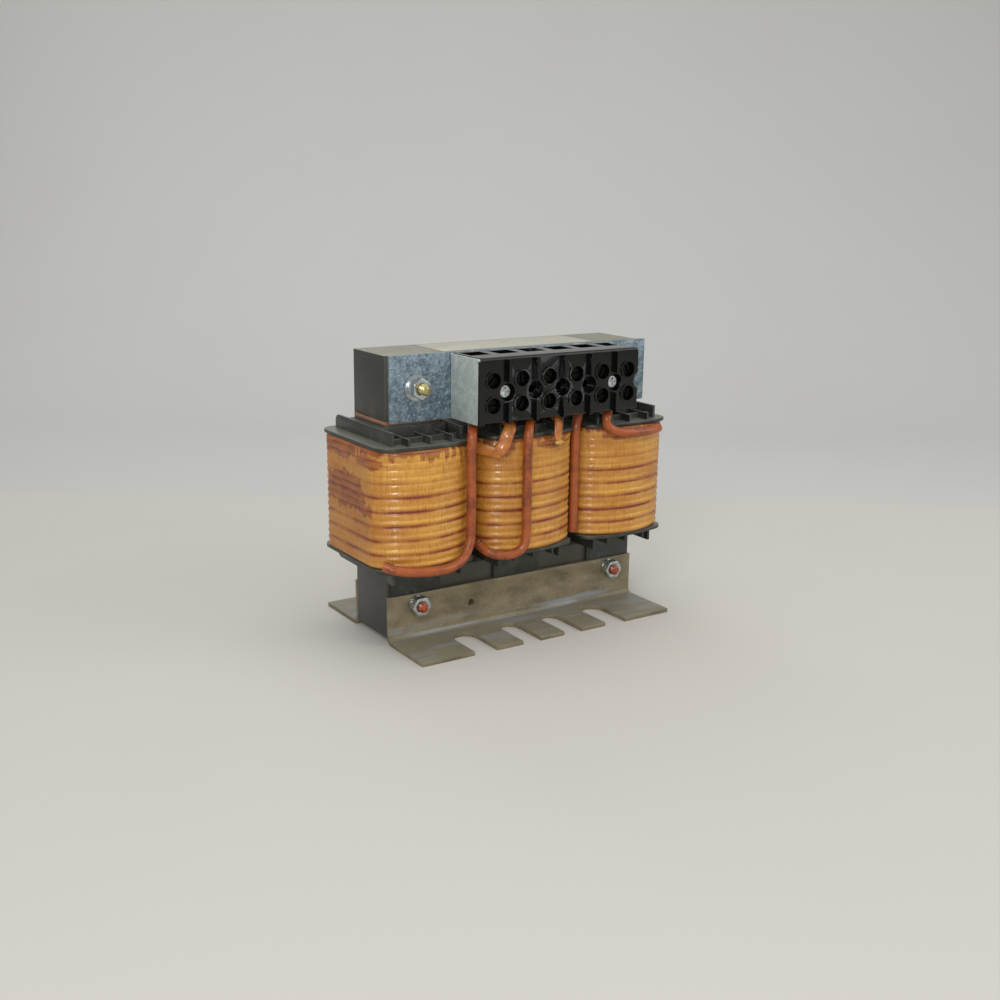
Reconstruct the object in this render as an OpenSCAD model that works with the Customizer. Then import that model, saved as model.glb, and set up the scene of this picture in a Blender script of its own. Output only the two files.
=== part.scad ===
// Three-phase line reactor: a laminated core with three wound legs, a six-pole
// terminal block on a clamp plate, and two slotted mounting angles.
// X runs along the width, -Y is the front and Z = 0 is the floor under the angles.

/* [Core] */
// Width of each leg, across the front
leg_w = 38; // [32:0.5:40]
// Distance between the centres of neighbouring legs
leg_pitch = 72.5; // [70:0.5:80]
// Depth of the lamination stack, front to back
stack_d = 38.4; // [30:0.2:42]
// Height of the lower and of the upper yoke
yoke_h = 38; // [34:0.5:44]
// Height of the legs between the yokes
leg_h = 91.3; // [89.5:0.1:100]
// Thickness of the air-gap spacer on each leg
spacer_t = 2; // [0.5:0.1:4]
// Height of the core's underside above the floor
core_lift = 4; // [3:0.5:6]

/* [Mounting angles] */
// Sheet thickness of the angles
angle_t = 2.6; // [1.5:0.1:3.5]
// Height of the upright leg
angle_h = 29.5; // [28:0.5:34]
// Reach of the flange from the face of the core
angle_reach = 43.1; // [38:0.1:55]
// Inside radius of the bend
angle_bend = 3; // [1:0.5:4]
// Depth of the open slots from the flange edge
slot_depth = 30.8; // [16:0.1:31]
// Centre of the outer slots, left and right of the middle
outer_slot_x = 48.3; // [40:0.1:55]
// Width of the outer slots
outer_slot_w = 15.8; // [8:0.1:17]
// Centre of the inner slots, left and right of the middle
inner_slot_x = 15.3; // [12:0.1:20]
// Width of the inner slots
inner_slot_w = 13.2; // [8:0.1:15]
// Height of the lower clamping bolts above the floor
lower_bolt_z = 23; // [21:0.5:23]
// Place of the tapped earthing hole along the front angle
earth_x = -33.7; // [-45:0.1:45]
// Height of the tapped earthing hole
earth_z = 17.1; // [12:0.1:20]
// Wall radius of the tapped earthing hole
earth_r = 2.1; // [1.2:0.05:3]

/* [Clamping bolts] */
// Bolt diameter
bolt_d = 6.35; // [5:0.05:7]
// Nut and bolt head size across the flats
nut_af = 11.1; // [9:0.1:12]
// Nut height
nut_h = 5.6; // [4:0.1:7]
// Bolt head height
head_h = 4.2; // [3:0.1:5]
// Length of the bolt past its nut
bolt_end = 5; // [2:0.5:8]
// Outer diameter of the flat washers
flat_washer_d = 15.2; // [12.5:0.1:18]
// Thickness of the flat washers
flat_washer_t = 1.4; // [0.8:0.1:2]
// Outer diameter of the split lock washers
lock_washer_d = 11.8; // [10:0.1:13]
// Thickness of the split lock washers
lock_washer_t = 1.7; // [1:0.1:2.2]
// Wall of the insulating sleeve round each bolt
sleeve_wall = 0.9; // [0.5:0.1:1.2]
// Shift of the upper right bolt to the right, past the end of the terminal block
upper_right_shift = 1.4; // [1.4:0.1:3]

/* [Clamp plate and bracket] */
// Length of the front clamp plate
plate_l = 186.7; // [180:0.1:190]
// Height of the front clamp plate
plate_h = 39.1; // [36:0.1:42]
// Thickness of the front clamp plate
plate_t = 2; // [1:0.1:3]
// Shift of the plate to the right of the middle
plate_shift = 4.05; // [0:0.05:5]
// How far the plate reaches below the upper yoke
plate_drop = 1.2; // [0.2:0.1:2]
// Sheet thickness of the terminal bracket
bracket_t = 1.5; // [1:0.1:2]
// Inside radius of the bracket's bend
bracket_bend = 0.6; // [0.2:0.1:1]
// Height of the terminal bracket
bracket_h = 37.9; // [34:0.1:38]

/* [Terminal block] */
// Distance between the centres of neighbouring poles
pole_pitch = 19.6; // [18.5:0.1:20.5]
// Centre of the six poles along X
block_x = 10.9; // [9:0.1:12]
// Height of the block
block_h = 38.2; // [38:0.1:40]
// Depth of the block, from its back to the pole faces
block_d = 28.3; // [27.5:0.1:30]
// Height of the mounting holes above the block's underside
screw_row = 17.7; // [17.6:0.1:19]
// Height of the block's underside above the underside of the upper yoke
block_drop = -0.7; // [-1:0.1:0]
// Thickness of the barriers between the poles
barrier_t = 2; // [1.2:0.1:2.4]
// How far the barriers stand out from the pole faces
barrier_out = 3; // [1:0.1:4]
// Radius of the screw access bores
access_r = 4.6; // [4:0.1:5]
// Radius of the block's mounting holes
block_hole_r = 2.3; // [2:0.1:2.5]
// Radius of the counterbores for the mounting screws
block_sink_r = 5.2; // [4.8:0.1:5.4]
// Depth of the counterbores
block_sink_depth = 5; // [4:0.1:6]
// Width of each wire entry
entry_w = 14; // [13:0.1:15]
// Length of each wire entry, front to back
entry_d = 13.5; // [10:0.1:14]

/* [Cage clamps] */
// Height of the upper screws above the middle of the block, and of the lower ones below it
clamp_rise = 7.3; // [7.2:0.1:7.6]
// Diameter of the clamp screws
screw_d = 4.9; // [4:0.1:5.2]
// Head diameter of the clamp screws
screw_head_d = 7.6; // [6:0.1:7.8]
// Head height of the clamp screws
screw_head_h = 3; // [2:0.1:3.2]
// Width of the current bars
bar_w = 8; // [6:0.1:8.6]
// Thickness of the current bars
bar_t = 2; // [1.5:0.1:2.2]
// Length of the current bars
bar_l = 26; // [20:0.5:27]
// Width of the clamp cages
cage_w = 12; // [11:0.1:12.6]
// Height of the clamp cages
cage_h = 8.4; // [7:0.1:8.4]
// Thickness of a cage's threaded front wall
cage_front = 2.5; // [2:0.1:3]
// Thickness of a cage's back wall
cage_back = 1.5; // [1:0.1:1.8]
// Thickness of a cage's side walls
cage_side = 1.5; // [1:0.1:1.8]
// Opening behind the bar of a fully open clamp
wire_gap = 5.5; // [5:0.1:5.6]

/* [Windings] */
// Width of a winding
coil_w = 67.8; // [66:0.1:69]
// Depth of a winding at the middle of its bowed front and back
coil_d = 90; // [86:0.5:94]
// Radius of a winding's corners
coil_corner = 15; // [12:0.5:17]
// Radius of a winding's bowed front and back
coil_bow = 50; // [45:1:80]
// Diameter of the enamelled wire with its varnish
wire_d = 4.3; // [3.6:0.05:4.35]
// Turns in the outer layer
turns = 15.5; // [12.5:1:15.5]

/* [Bobbins] */
// Width of the flanges
bobbin_w = 65.2; // [60:0.1:68]
// Depth of the flanges at the middle of their bowed front and back
bobbin_d = 86; // [80:0.5:88]
// Radius of the flange corners
bobbin_corner = 9; // [6:0.5:11]
// Radius of the flanges' bowed front and back
bobbin_bow = 100; // [90:5:140]
// Space above each bobbin, up to the level of the air-gap spacers
bobbin_top_play = 1.3; // [0.5:0.1:3]
// Wall of the tube round the leg
bobbin_wall = 1.6; // [1:0.1:2]
// Thickness of the flanges
flange_t = 2; // [1.5:0.1:2.5]
// Height of the upright walls on the flanges
collar_h = 8; // [6:0.5:9]
// Thickness of the upright walls
collar_t = 1.8; // [1.2:0.1:2.2]
// Depth of the upright walls, front to back
collar_d = 72; // [60:1:76]
// Height of the stiffening ribs
rib_h = 4.4; // [2:0.1:4.4]
// Thickness of the stiffening ribs
rib_t = 1.3; // [0.8:0.1:1.8]
// Width of the skirts in front of and behind the lower yoke
skirt_w = 34; // [24:1:37]

/* [Leads and label] */
// Outer diameter of the sleeved leads
lead_d = 5.8; // [4.5:0.1:5.8]
// Diameter of the bare wire in the clamps
lead_wire_d = 4.1; // [3.5:0.1:4.2]
// Length of the blank rating label
label_l = 109; // [80:1:130]
// Width of the blank rating label
label_w = 34; // [20:1:36]
// Shift of the label from the middle, along X
label_x = 2.5; // [-10:0.5:10]
// Shift of the label from the middle, along Y
label_y = -1; // [-1:0.5:1]
// Thickness of the label
label_t = 0.25; // [0.1:0.05:0.5]

/* [Hidden] */
$fn = 64;

// Overrun of every cut past the surface it opens
overrun = 1;
// Radial play of the bolts in their sleeves and of the sleeves in the core
bolt_play = 0.15;
// Radial play of a bolt in a sheet-metal hole or a washer
hole_play = 0.3;
// Gap between bolt and nut, where the threads are
thread_gap = 0.05;
// Play between a leg and its bobbin, on each side
bobbin_play = 0.3;
// Play between a bobbin's tube and its winding
winding_play = 0.3;
// Gap between the winding and the flanges, and between the layers
turn_seat = 0.1;
// Radial play of the clamp screws in their holes
screw_play = 0.07;
// Gap under the screw heads and at the screw tips
screw_gap = 0.1;
// Play of the cages in the block's chambers
cage_play = 0.3;
// Play of the bars in their slots
bar_play = 0.12;
// Play round the bare wires in the lower clamps
wire_play = 0.05;

// Core
core_w = 2 * leg_pitch + leg_w;
yoke_z = core_lift + yoke_h;
leg_top = yoke_z + leg_h;
upper_z = leg_top + spacer_t;
upper_bolt_z = upper_z + yoke_h / 2;
core_face = stack_d / 2;
legs = [-leg_pitch, 0, leg_pitch];
lower_xs = [-leg_pitch, leg_pitch];
upper_xs = [-leg_pitch, leg_pitch + upper_right_shift];

// Bolts and washers
bolt_r = bolt_d / 2;
sleeve_in = bolt_r + bolt_play;
sleeve_out = sleeve_in + sleeve_wall;
core_hole_r = sleeve_out + bolt_play;
sheet_hole_r = bolt_r + hole_play;
nut_corner_r = nut_af / 2 / cos(30);
hex_top_share = 0.94;
hex_bevel_share = 0.12;
tip_bevel = 0.8;
washer_slit = 1.2;
angle_face = core_face + angle_t;
plate_face = core_face + plate_t;

// Clamp plate and bracket
plate_left = plate_shift - plate_l / 2;
plate_z = upper_z - plate_drop;
web_face = plate_face + bracket_t;
block_gap = 0.2;
block_back = web_face + block_gap;
pole_face = block_back + block_d;
barrier_face = pole_face + barrier_out;

// Terminal block
poles = 6;
block_z = upper_z + block_drop;
block_top = block_z + block_h;
block_mid = block_z + screw_row;
end_trim = 2;
wing_clear = 0.2;
block_left = block_x - pole_pitch * poles / 2 + wing_clear;
block_right = block_x + pole_pitch * poles / 2 - end_trim;
web_end = leg_pitch + upper_right_shift - flat_washer_d / 2 - wing_clear;
wing_in = block_left - wing_clear;
wing_out = wing_in - bracket_t;
lip_t = 1.6;
wing_gap = 0.2;
wing_tip = barrier_face - lip_t - wing_gap;
pole_xs = [for (k = [0 : poles - 1]) block_x + pole_pitch * (k - (poles - 1) / 2)];
seam_xs = [for (k = [1 : poles]) block_x + pole_pitch * (k - poles / 2)];
edge_round = 1.6;
corner_round = 3;
rim_w = 0.9;
rim_h = 0.7;
rim_r = access_r + rim_w;
boss_clear = 6;
barrier_step = 1.4;
roof_t = 2;
chamber_back_wall = 1.6;
chamber_back = block_back + chamber_back_wall;
front_wall = 8.2;
chamber_front = pole_face - front_wall;
shelf = clamp_rise - cage_h / 2 - cage_play;

// Cage clamps, with every place measured from the back of the block forwards
cage_open_back = chamber_back + cage_play;
bar_back = cage_open_back + cage_back + wire_gap;
bar_front = bar_back + bar_t;
cage_slack = 0.5;
cage_len = cage_back + wire_gap + bar_t + cage_slack + cage_front;
cage_round = 0.8;
screw_tip = bar_front + screw_gap / 2;
head_seat_wall = 3.5;
head_seat = chamber_front + head_seat_wall;
head_base = head_seat + screw_gap;
screw_len = head_base - screw_tip;
slot_w = 1.1;
slot_deep = 1.3;
lower_shift = wire_gap - lead_wire_d - 2 * wire_play;
wire_y = -(bar_back - wire_play - lead_wire_d / 2);

// Block mounting screws
block_screw_r = 1.9;
block_screw_head_r = 4.4;
block_screw_head_h = 2.3;
block_screw_dome = 0.9;
cross_w = 1.1;
cross_l = 5;
cross_deep = 1.2;
block_screw_seat = pole_face - block_sink_depth;
block_screw_end = plate_face - plate_t + thread_gap;
sink_play = 0.05;

// Windings and bobbins
bobbin_h = leg_h - bobbin_top_play;
coil_plan = [coil_w / 2, coil_d / 2, coil_corner, coil_bow];
flange_plan = [bobbin_w / 2, bobbin_d / 2, bobbin_corner, bobbin_bow];
wire_r = wire_d / 2;
wire_sides = 6;
wire_half = wire_r * cos(30);
lower_flange = yoke_z + collar_h;
upper_flange = yoke_z + bobbin_h - collar_h;
wind_z = lower_flange + flange_t + turn_seat;
wind_h = upper_flange - flange_t - turn_seat - wind_z;
turn_pitch = (wind_h - 2 * wire_half) / turns;
tube_in = [leg_w / 2 + bobbin_play, core_face + bobbin_play];
tube_out = [tube_in[0] + bobbin_wall, tube_in[1] + bobbin_wall];
collar_gap = 0.8;
collar_x = tube_out[0] + collar_gap;
collar_round = 4;
rib_xs_share = [-0.66, 0, 0.66];
rib_end_share = 0.93;
cross_rib_share = 0.5;
cross_rib_drop = 1;
skirt_gap = 0.5;
edge_share = 0.000001;

// Leads: round tubes along routes chosen by hand, from the winding to the clamp
side_hint = [0.3, 1, 0.2];
lead_sides = 8;
lead_steps = 3;
sleeve_in_block = 3.9;
sleeve_end = block_z + sleeve_in_block;
wire_end = block_mid - shelf - 2 * wire_play;
route_1 = [
    [-103.4, -39, 56], [-99.4, -42.8, 54.3], [-92, -45.2, 52.6], [-82, -47.8, 51.6],
    [-72, -48.6, 51.3], [-64, -48, 51.6], [-57, -46.2, 53.4], [-51.6, -44.6, 57.6],
    [-48.4, -43.4, 64], [-47.5, -42.9, 72], [-47.3, -42.9, 90], [-47.6, -42.9, 112],
    [-47.7, -43.2, 121.5], [-46.9, -42.6, 127.2], [-43.4, -37.6, 130.9], [-39.6, -32, 131.9]
];
route_2 = [
    [-36.3, -30.8, 116.6], [-34, -35.2, 116.2], [-31, -38.8, 115.4], [-28.4, -41.4, 115],
    [-26.4, -43, 117.8], [-24.8, -43.7, 121.6], [-23, -43.9, 126], [-20.2, -42.3, 130],
    [-18.7, -38, 131.4], [-18.5, -33, 131.8]
];
route_3 = [
    [-35.8, -31.4, 58.6], [-34.6, -34.6, 56], [-32, -40, 53.5], [-26, -43.2, 51.8],
    [-18.6, -45.6, 52.4], [-13, -47, 56], [-11, -47.3, 63], [-10.9, -47.3, 80],
    [-10.9, -47.3, 105], [-10.8, -47.3, 120], [-9.8, -46.6, 126], [-6.8, -43, 130],
    [-2.4, -37.4, 131.4], [0.6, -32.2, 132.2]
];
route_4 = [
    [17.6, -45.6, 117.2], [13.6, -47.4, 117.6], [11, -48, 121.4], [11.2, -47.4, 126],
    [13.4, -44.2, 130.4], [16, -38.6, 131.3], [17.8, -33, 131.9]
];
route_5 = [
    [35.6, -32, 55.4], [35.5, -32, 64], [35.5, -32, 80], [35.5, -32, 100],
    [35.6, -32, 116], [36.2, -31.6, 123.6], [38.6, -30.4, 130]
];
route_6 = [
    [92.6, -43.8, 118.8], [86, -46.6, 118.6], [78, -48, 118.6], [70, -48.3, 118.8],
    [61.6, -47.3, 119.4], [54.4, -45.4, 121.4], [50.4, -44.6, 125], [50.6, -43.8, 129.4],
    [54, -40.4, 131.4], [58.4, -35, 131.7]
];
lead_4_shift = -2.4;

// Sizes that the routes were chosen for; placed() moves them along with other sizes
route_pitch = 72.5;
route_front = 45;
route_low = 50;
route_high = 124;
route_block = 134.6;
flange_clear = 2;
lead_front = max(coil_d / 2, bobbin_d / 2 + flange_clear);

// Directions round an outline, from the front
quarter_turn = 90;
half_turn = 180;

// Outlines and tubes.
echo(str("Least gap of a winding to itself, in mm: ", turn_gap()));

function unit(v) = v / norm(v);

// Directions round an outline, as [angle from the front, front or back], with
// corner_n chords in a corner, front_n in the front bow and back_n in the back one
function plan_dirs(plan, corner_n, front_n, back_n) =
    let (bow = asin((plan[0] - plan[2]) / (plan[3] - plan[2])))
    concat(
        [for (i = [0 : corner_n]) [-quarter_turn + (quarter_turn - bow) * i / corner_n, -1]],
        [for (i = [1 : 1 : front_n - 1]) [-bow + 2 * bow * i / front_n, -1]],
        [for (i = [0 : corner_n]) [bow + (quarter_turn - bow) * i / corner_n, -1]],
        [for (i = [0 : corner_n]) [quarter_turn + (quarter_turn - bow) * i / corner_n, 1]],
        [for (i = [1 : 1 : back_n - 1]) [half_turn - bow + 2 * bow * i / back_n, 1]],
        [for (i = [0 : corner_n]) [half_turn + bow + (quarter_turn - bow) * i / corner_n, 1]]
    );

// One point of an outline moved out by off
function plan_point(plan, dir, off) =
    let (
        cx = plan[0] - plan[2],
        fy = plan[3] - plan[1],
        cy = sqrt(pow(plan[3] - plan[2], 2) - cx * cx) - fy,
        d = [sin(dir[0]), -cos(dir[0])],
        in_bow = abs(d[0]) < cx / (plan[3] - plan[2]) - edge_share
    )
    in_bow
        ? [0, -dir[1] * fy] + (plan[3] + off) * d
        : [sign(d[0]) * cx, dir[1] * cy] + (plan[2] + off) * d;

function plan_ring(plan, off, corner_n, front_n, back_n) =
    [for (dir = plan_dirs(plan, corner_n, front_n, back_n)) plan_point(plan, dir, off)];

// Faces of a tube of rings with the given number of sides, closed at both ends
function tube_faces(rings, sides) = concat(
    [for (i = [0 : rings - 2], k = [0 : sides - 1])
        [i * sides + k, (i + 1) * sides + k, (i + 1) * sides + (k + 1) % sides]],
    [for (i = [0 : rings - 2], k = [0 : sides - 1])
        [i * sides + k, (i + 1) * sides + (k + 1) % sides, i * sides + (k + 1) % sides]],
    [for (k = [1 : sides - 2]) [0, k, k + 1]],
    [for (k = [1 : sides - 2]) [(rings - 1) * sides, (rings - 1) * sides + k + 1, (rings - 1) * sides + k]]
);

// Helix of the outer layer: chords, directions, and height by length along the turn
turn_dirs = plan_dirs(coil_plan, 2, 3, 2);
turn_plan = [for (dir = turn_dirs) plan_point(coil_plan, dir, -wire_r)];
turn_n = len(turn_plan);
turn_steps = [for (i = [0 : turn_n - 1]) norm(turn_plan[(i + 1) % turn_n] - turn_plan[i])];
turn_way = [for (i = 0, s = 0; i < turn_n; s = s + turn_steps[i], i = i + 1) s];
turn_len = turn_way[turn_n - 1] + turn_steps[turn_n - 1];
ring_count = floor(turns * turn_n) + 1;

function turn_point(j) = [
    turn_plan[j % turn_n][0],
    turn_plan[j % turn_n][1],
    wind_z + wire_half + turn_pitch * (floor(j / turn_n) + turn_way[j % turn_n] / turn_len)
];

function wire_ring(centre, angle) = [
    for (k = [0 : wire_sides - 1])
        let (a = 360 * k / wire_sides)
        centre + wire_r * [cos(a) * sin(angle), -cos(a) * cos(angle), sin(a)]
];

// All rings, with a straight length of one diameter added at each end
function winding_rings() =
    let (
        last = ring_count - 1,
        in_angle = turn_dirs[0][0],
        out_angle = turn_dirs[last % turn_n][0]
    )
    concat(
        [wire_ring(turn_point(0) - wire_d * [cos(in_angle), sin(in_angle), 0], in_angle)],
        [for (j = [0 : last]) wire_ring(turn_point(j), turn_dirs[j % turn_n][0])],
        [wire_ring(turn_point(last) + wire_d * [cos(out_angle), sin(out_angle), 0], out_angle)]
    );

// Least distance between the surface points of one turn and of the next
function turn_gap() = min([
    for (j = [0 : ring_count - turn_n - 1], dj = [-1 : 1])
        let (
            a = wire_ring(turn_point(j), turn_dirs[j % turn_n][0]),
            m = min(max(j + turn_n + dj, 0), ring_count - 1),
            b = wire_ring(turn_point(m), turn_dirs[m % turn_n][0])
        )
        min([for (p = a, q = b) norm(p - q)])
]);

// Smooth curve through the points of a route
function spline(p, n) = [
    for (i = [0 : len(p) - 2], k = [0 : n - 1])
        let (
            a = p[max(i - 1, 0)], b = p[i], c = p[i + 1], d = p[min(i + 2, len(p) - 1)],
            t = k / n
        )
        0.5 * (2 * b + (c - a) * t + (2 * a - 5 * b + 4 * c - d) * t * t
            + (3 * b - a - 3 * c + d) * t * t * t)
];

// Height and place of a route's point between the flanges, or between them and the block
function placed_z(z) = z < route_high
    ? lower_flange + (z - route_low) * (upper_flange - lower_flange) / (route_high - route_low)
    : upper_flange + (z - route_high) * (block_z - upper_flange) / (route_block - route_high);

function placed(p) =
    let (stay = min(1, max(0, (route_block - p[2]) / (route_block - route_high))))
    [
        p[0] + stay * p[0] * (leg_pitch - route_pitch) / route_pitch,
        p[1] - stay * (lead_front - route_front),
        placed_z(p[2])
    ];

function way(p, i) = unit(p[min(i + 1, len(p) - 1)] - p[max(i - 1, 0)]);

function flat_to(v, t) = unit(v - (v * t) * t);

// Fasteners, along +Z with their seat at 0.
module hex_blank(h) {
    bevel = h * hex_bevel_share;
    intersection() {
        cylinder(r = nut_corner_r, h = h, $fn = 6);
        rotate_extrude()
            polygon([
                [0, 0], [nut_corner_r * hex_top_share, 0], [nut_corner_r, bevel],
                [nut_corner_r, h - bevel], [nut_corner_r * hex_top_share, h], [0, h]
            ]);
    }
}

module nut() {
    difference() {
        hex_blank(nut_h);
        translate([0, 0, -overrun])
            cylinder(r = bolt_r + thread_gap, h = nut_h + 2 * overrun);
    }
}

module bolt(under_head, length) {
    translate([0, 0, -under_head - head_h])
        hex_blank(head_h);
    translate([0, 0, -under_head])
        cylinder(r = bolt_r, h = under_head + length - tip_bevel);
    translate([0, 0, length - tip_bevel])
        cylinder(r1 = bolt_r, r2 = bolt_r - tip_bevel, h = tip_bevel);
}

module flat_washer() {
    difference() {
        cylinder(d = flat_washer_d, h = flat_washer_t);
        translate([0, 0, -overrun])
            cylinder(r = sheet_hole_r, h = flat_washer_t + 2 * overrun);
    }
}

module lock_washer() {
    difference() {
        cylinder(d = lock_washer_d, h = lock_washer_t);
        translate([0, 0, -overrun])
            cylinder(r = sheet_hole_r, h = lock_washer_t + 2 * overrun);
        rotate([0, 0, 70])
            translate([0, -washer_slit / 2, -overrun])
                cube([lock_washer_d, washer_slit, lock_washer_t + 2 * overrun]);
    }
}

// Sets its children on the bolt axes, at y and pointing to the front
module on_bolts(y, z) {
    for (x = z > leg_top ? upper_xs : lower_xs)
        translate([x, y, z])
            rotate([90, z > leg_top ? 30 : 0, 0])
                children();
}

// Core.
module bolt_bores(r, z) {
    on_bolts(core_face + overrun, z)
        cylinder(r = r, h = stack_d + 2 * overrun);
}

module e_core() {
    color([0.24, 0.24, 0.23])
        difference() {
            union() {
                translate([-core_w / 2, -core_face, core_lift])
                    cube([core_w, stack_d, yoke_h]);
                for (x = legs)
                    translate([x - leg_w / 2, -core_face, core_lift])
                        cube([leg_w, stack_d, yoke_h + leg_h]);
            }
            bolt_bores(core_hole_r, lower_bolt_z);
        }
}

module top_yoke() {
    color([0.27, 0.27, 0.24])
        difference() {
            translate([-core_w / 2, -core_face, upper_z])
                cube([core_w, stack_d, yoke_h]);
            bolt_bores(core_hole_r, upper_bolt_z);
        }
}

module gap_spacers() {
    color([0.45, 0.26, 0.1])
        for (x = legs)
            translate([x - leg_w / 2, -core_face, leg_top])
                cube([leg_w, stack_d, spacer_t]);
}

module bolt_sleeves() {
    color([0.85, 0.82, 0.72]) {
        on_bolts(core_face, lower_bolt_z)
            sleeve();
        on_bolts(core_face, upper_bolt_z)
            sleeve();
    }
}

module sleeve() {
    difference() {
        cylinder(r = sleeve_out, h = stack_d);
        translate([0, 0, -overrun])
            cylinder(r = sleeve_in, h = stack_d + 2 * overrun);
    }
}

// Mounting angles.
module angle_profile() {
    outer = angle_bend + angle_t;
    translate([0, outer])
        square([angle_t, angle_h - outer]);
    translate([outer, 0])
        square([angle_reach - outer, angle_t]);
    intersection() {
        translate([outer, outer])
            difference() {
                circle(r = outer);
                circle(r = angle_bend);
            }
        square([outer, outer]);
    }
}

module open_slot(x, w) {
    reach = angle_reach + core_face;
    inner = reach - slot_depth + w / 2;
    translate([x, -inner, -overrun])
        cylinder(r = w / 2, h = angle_t + 2 * overrun);
    translate([x - w / 2, -reach - overrun, -overrun])
        cube([w, reach + overrun - inner, angle_t + 2 * overrun]);
}

module mounting_angle(earth) {
    difference() {
        translate([-core_w / 2, -core_face, 0])
            rotate([90, 0, 90])
                mirror([1, 0, 0])
                    linear_extrude(core_w)
                        angle_profile();
        for (side = [-1, 1]) {
            open_slot(side * outer_slot_x, outer_slot_w);
            open_slot(side * inner_slot_x, inner_slot_w);
        }
        on_bolts(-core_face + overrun, lower_bolt_z)
            cylinder(r = sheet_hole_r, h = angle_t + 2 * overrun);
        if (earth)
            translate([earth_x, -core_face + overrun, earth_z])
                rotate([90, 0, 0])
                    cylinder(r = earth_r, h = angle_t + 2 * overrun);
    }
}

module front_mounting_angle() {
    color([0.38, 0.35, 0.27])
        mounting_angle(true);
}

module rear_mounting_angle() {
    color([0.38, 0.35, 0.27])
        mirror([0, 1, 0])
            mounting_angle(false);
}

// Clamping hardware.
module lower_bolts() {
    color([0.75, 0.72, 0.66])
        on_bolts(angle_face, lower_bolt_z)
            bolt(flat_washer_t, 2 * angle_face + lock_washer_t + nut_h + bolt_end / 2);
}

module lower_nuts() {
    color([0.75, 0.76, 0.76])
        on_bolts(-angle_face - lock_washer_t, lower_bolt_z)
            nut();
}

module lower_lock_washers() {
    color([0.75, 0.76, 0.76])
        on_bolts(-angle_face, lower_bolt_z)
            lock_washer();
}

module lower_flat_washers() {
    color([0.75, 0.76, 0.76])
        on_bolts(angle_face + flat_washer_t, lower_bolt_z)
            flat_washer();
}

module upper_bolts() {
    color([0.78, 0.74, 0.55])
        on_bolts(core_face, upper_bolt_z)
            bolt(flat_washer_t, core_face + plate_face + flat_washer_t + lock_washer_t + nut_h + bolt_end);
}

module upper_nuts() {
    color([0.75, 0.78, 0.8])
        on_bolts(-plate_face - flat_washer_t - lock_washer_t, upper_bolt_z)
            nut();
}

module upper_lock_washers() {
    color([0.75, 0.78, 0.8])
        on_bolts(-plate_face - flat_washer_t, upper_bolt_z)
            lock_washer();
}

module upper_flat_washers() {
    color([0.75, 0.78, 0.8]) {
        on_bolts(-plate_face, upper_bolt_z)
            flat_washer();
        on_bolts(core_face + flat_washer_t, upper_bolt_z)
            flat_washer();
    }
}

// Clamp plate, bracket and label.
module screw_bores(r) {
    for (x = [seam_xs[0], seam_xs[poles - 2]])
        translate([x, -core_face + overrun, block_mid])
            rotate([90, 0, 0])
                cylinder(r = r, h = plate_t + bracket_t + 2 * overrun);
}

module front_clamp_plate() {
    color([0.45, 0.53, 0.56])
        difference() {
            translate([plate_left, -plate_face, plate_z])
                cube([plate_l, plate_t, plate_h]);
            on_bolts(-core_face + overrun, upper_bolt_z)
                cylinder(r = sheet_hole_r, h = plate_t + 2 * overrun);
            screw_bores(block_screw_r + thread_gap);
        }
}

module bracket_profile() {
    outer = bracket_bend + bracket_t;
    translate([wing_out + outer, -web_face])
        square([web_end - wing_out - outer, bracket_t]);
    translate([wing_out, -wing_tip])
        square([bracket_t, wing_tip - plate_face - outer]);
    intersection() {
        translate([wing_out + outer, -plate_face - outer])
            difference() {
                circle(r = outer);
                circle(r = bracket_bend);
            }
        translate([wing_out, -plate_face - outer])
            square([outer, outer]);
    }
}

module terminal_bracket() {
    color([0.46, 0.5, 0.49])
        difference() {
            translate([0, 0, block_z])
                linear_extrude(bracket_h)
                    bracket_profile();
            screw_bores(block_screw_r + thread_gap);
        }
}

module rating_label() {
    color([0.62, 0.61, 0.57])
        translate([label_x - label_l / 2, label_y - label_w / 2, upper_z + yoke_h])
            cube([label_l, label_w, label_t]);
}

// Terminal block.
module block_section() {
    difference() {
        translate([-pole_face, block_z])
            square([block_d, block_h]);
        translate([-pole_face, block_top - edge_round])
            round_cut(-1, 1);
        translate([-pole_face, block_z + edge_round])
            round_cut(-1, -1);
    }
}

// Waste of a rounded edge, with sx and sz pointing out of the block
module round_cut(sx, sz) {
    mirror([0, sz < 0 ? 1 : 0])
        translate([sx < 0 ? 0 : -edge_round, 0])
            difference() {
                translate([sx < 0 ? -overrun : 0, 0])
                    square([edge_round + overrun, edge_round + overrun]);
                translate([sx < 0 ? edge_round : 0, 0])
                    circle(r = edge_round);
            }
}

// Chamber of one clamp, its wire entry and its screw bore; side is 1 for the upper one
module clamp_chamber(x, side) {
    room = side < 0 ? block_mid - block_z : block_top - block_mid;
    chamber_h = room - shelf - roof_t;
    translate([x, 0, block_mid])
        mirror([0, 0, side < 0 ? 1 : 0]) {
            translate([-entry_w / 2, -chamber_front, shelf])
                cube([entry_w, chamber_front - chamber_back, chamber_h]);
            translate([-entry_w / 2, -chamber_back - entry_d, shelf])
                cube([entry_w, entry_d, chamber_h + roof_t + overrun]);
            translate([0, -head_seat, clamp_rise])
                rotate([90, 0, 0])
                    cylinder(r = access_r, h = pole_face - head_seat + rim_h + overrun);
            translate([0, -chamber_front + overrun, clamp_rise])
                rotate([90, 0, 0])
                    cylinder(r = screw_d / 2 + screw_play, h = head_seat_wall + 2 * overrun);
        }
}

module bar_slot(x) {
    w = bar_w / 2 + bar_play;
    translate([x - w, -bar_front - bar_play, block_mid - shelf - overrun])
        cube([2 * w, bar_t + 2 * bar_play, 2 * shelf + 2 * overrun]);
}

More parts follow.
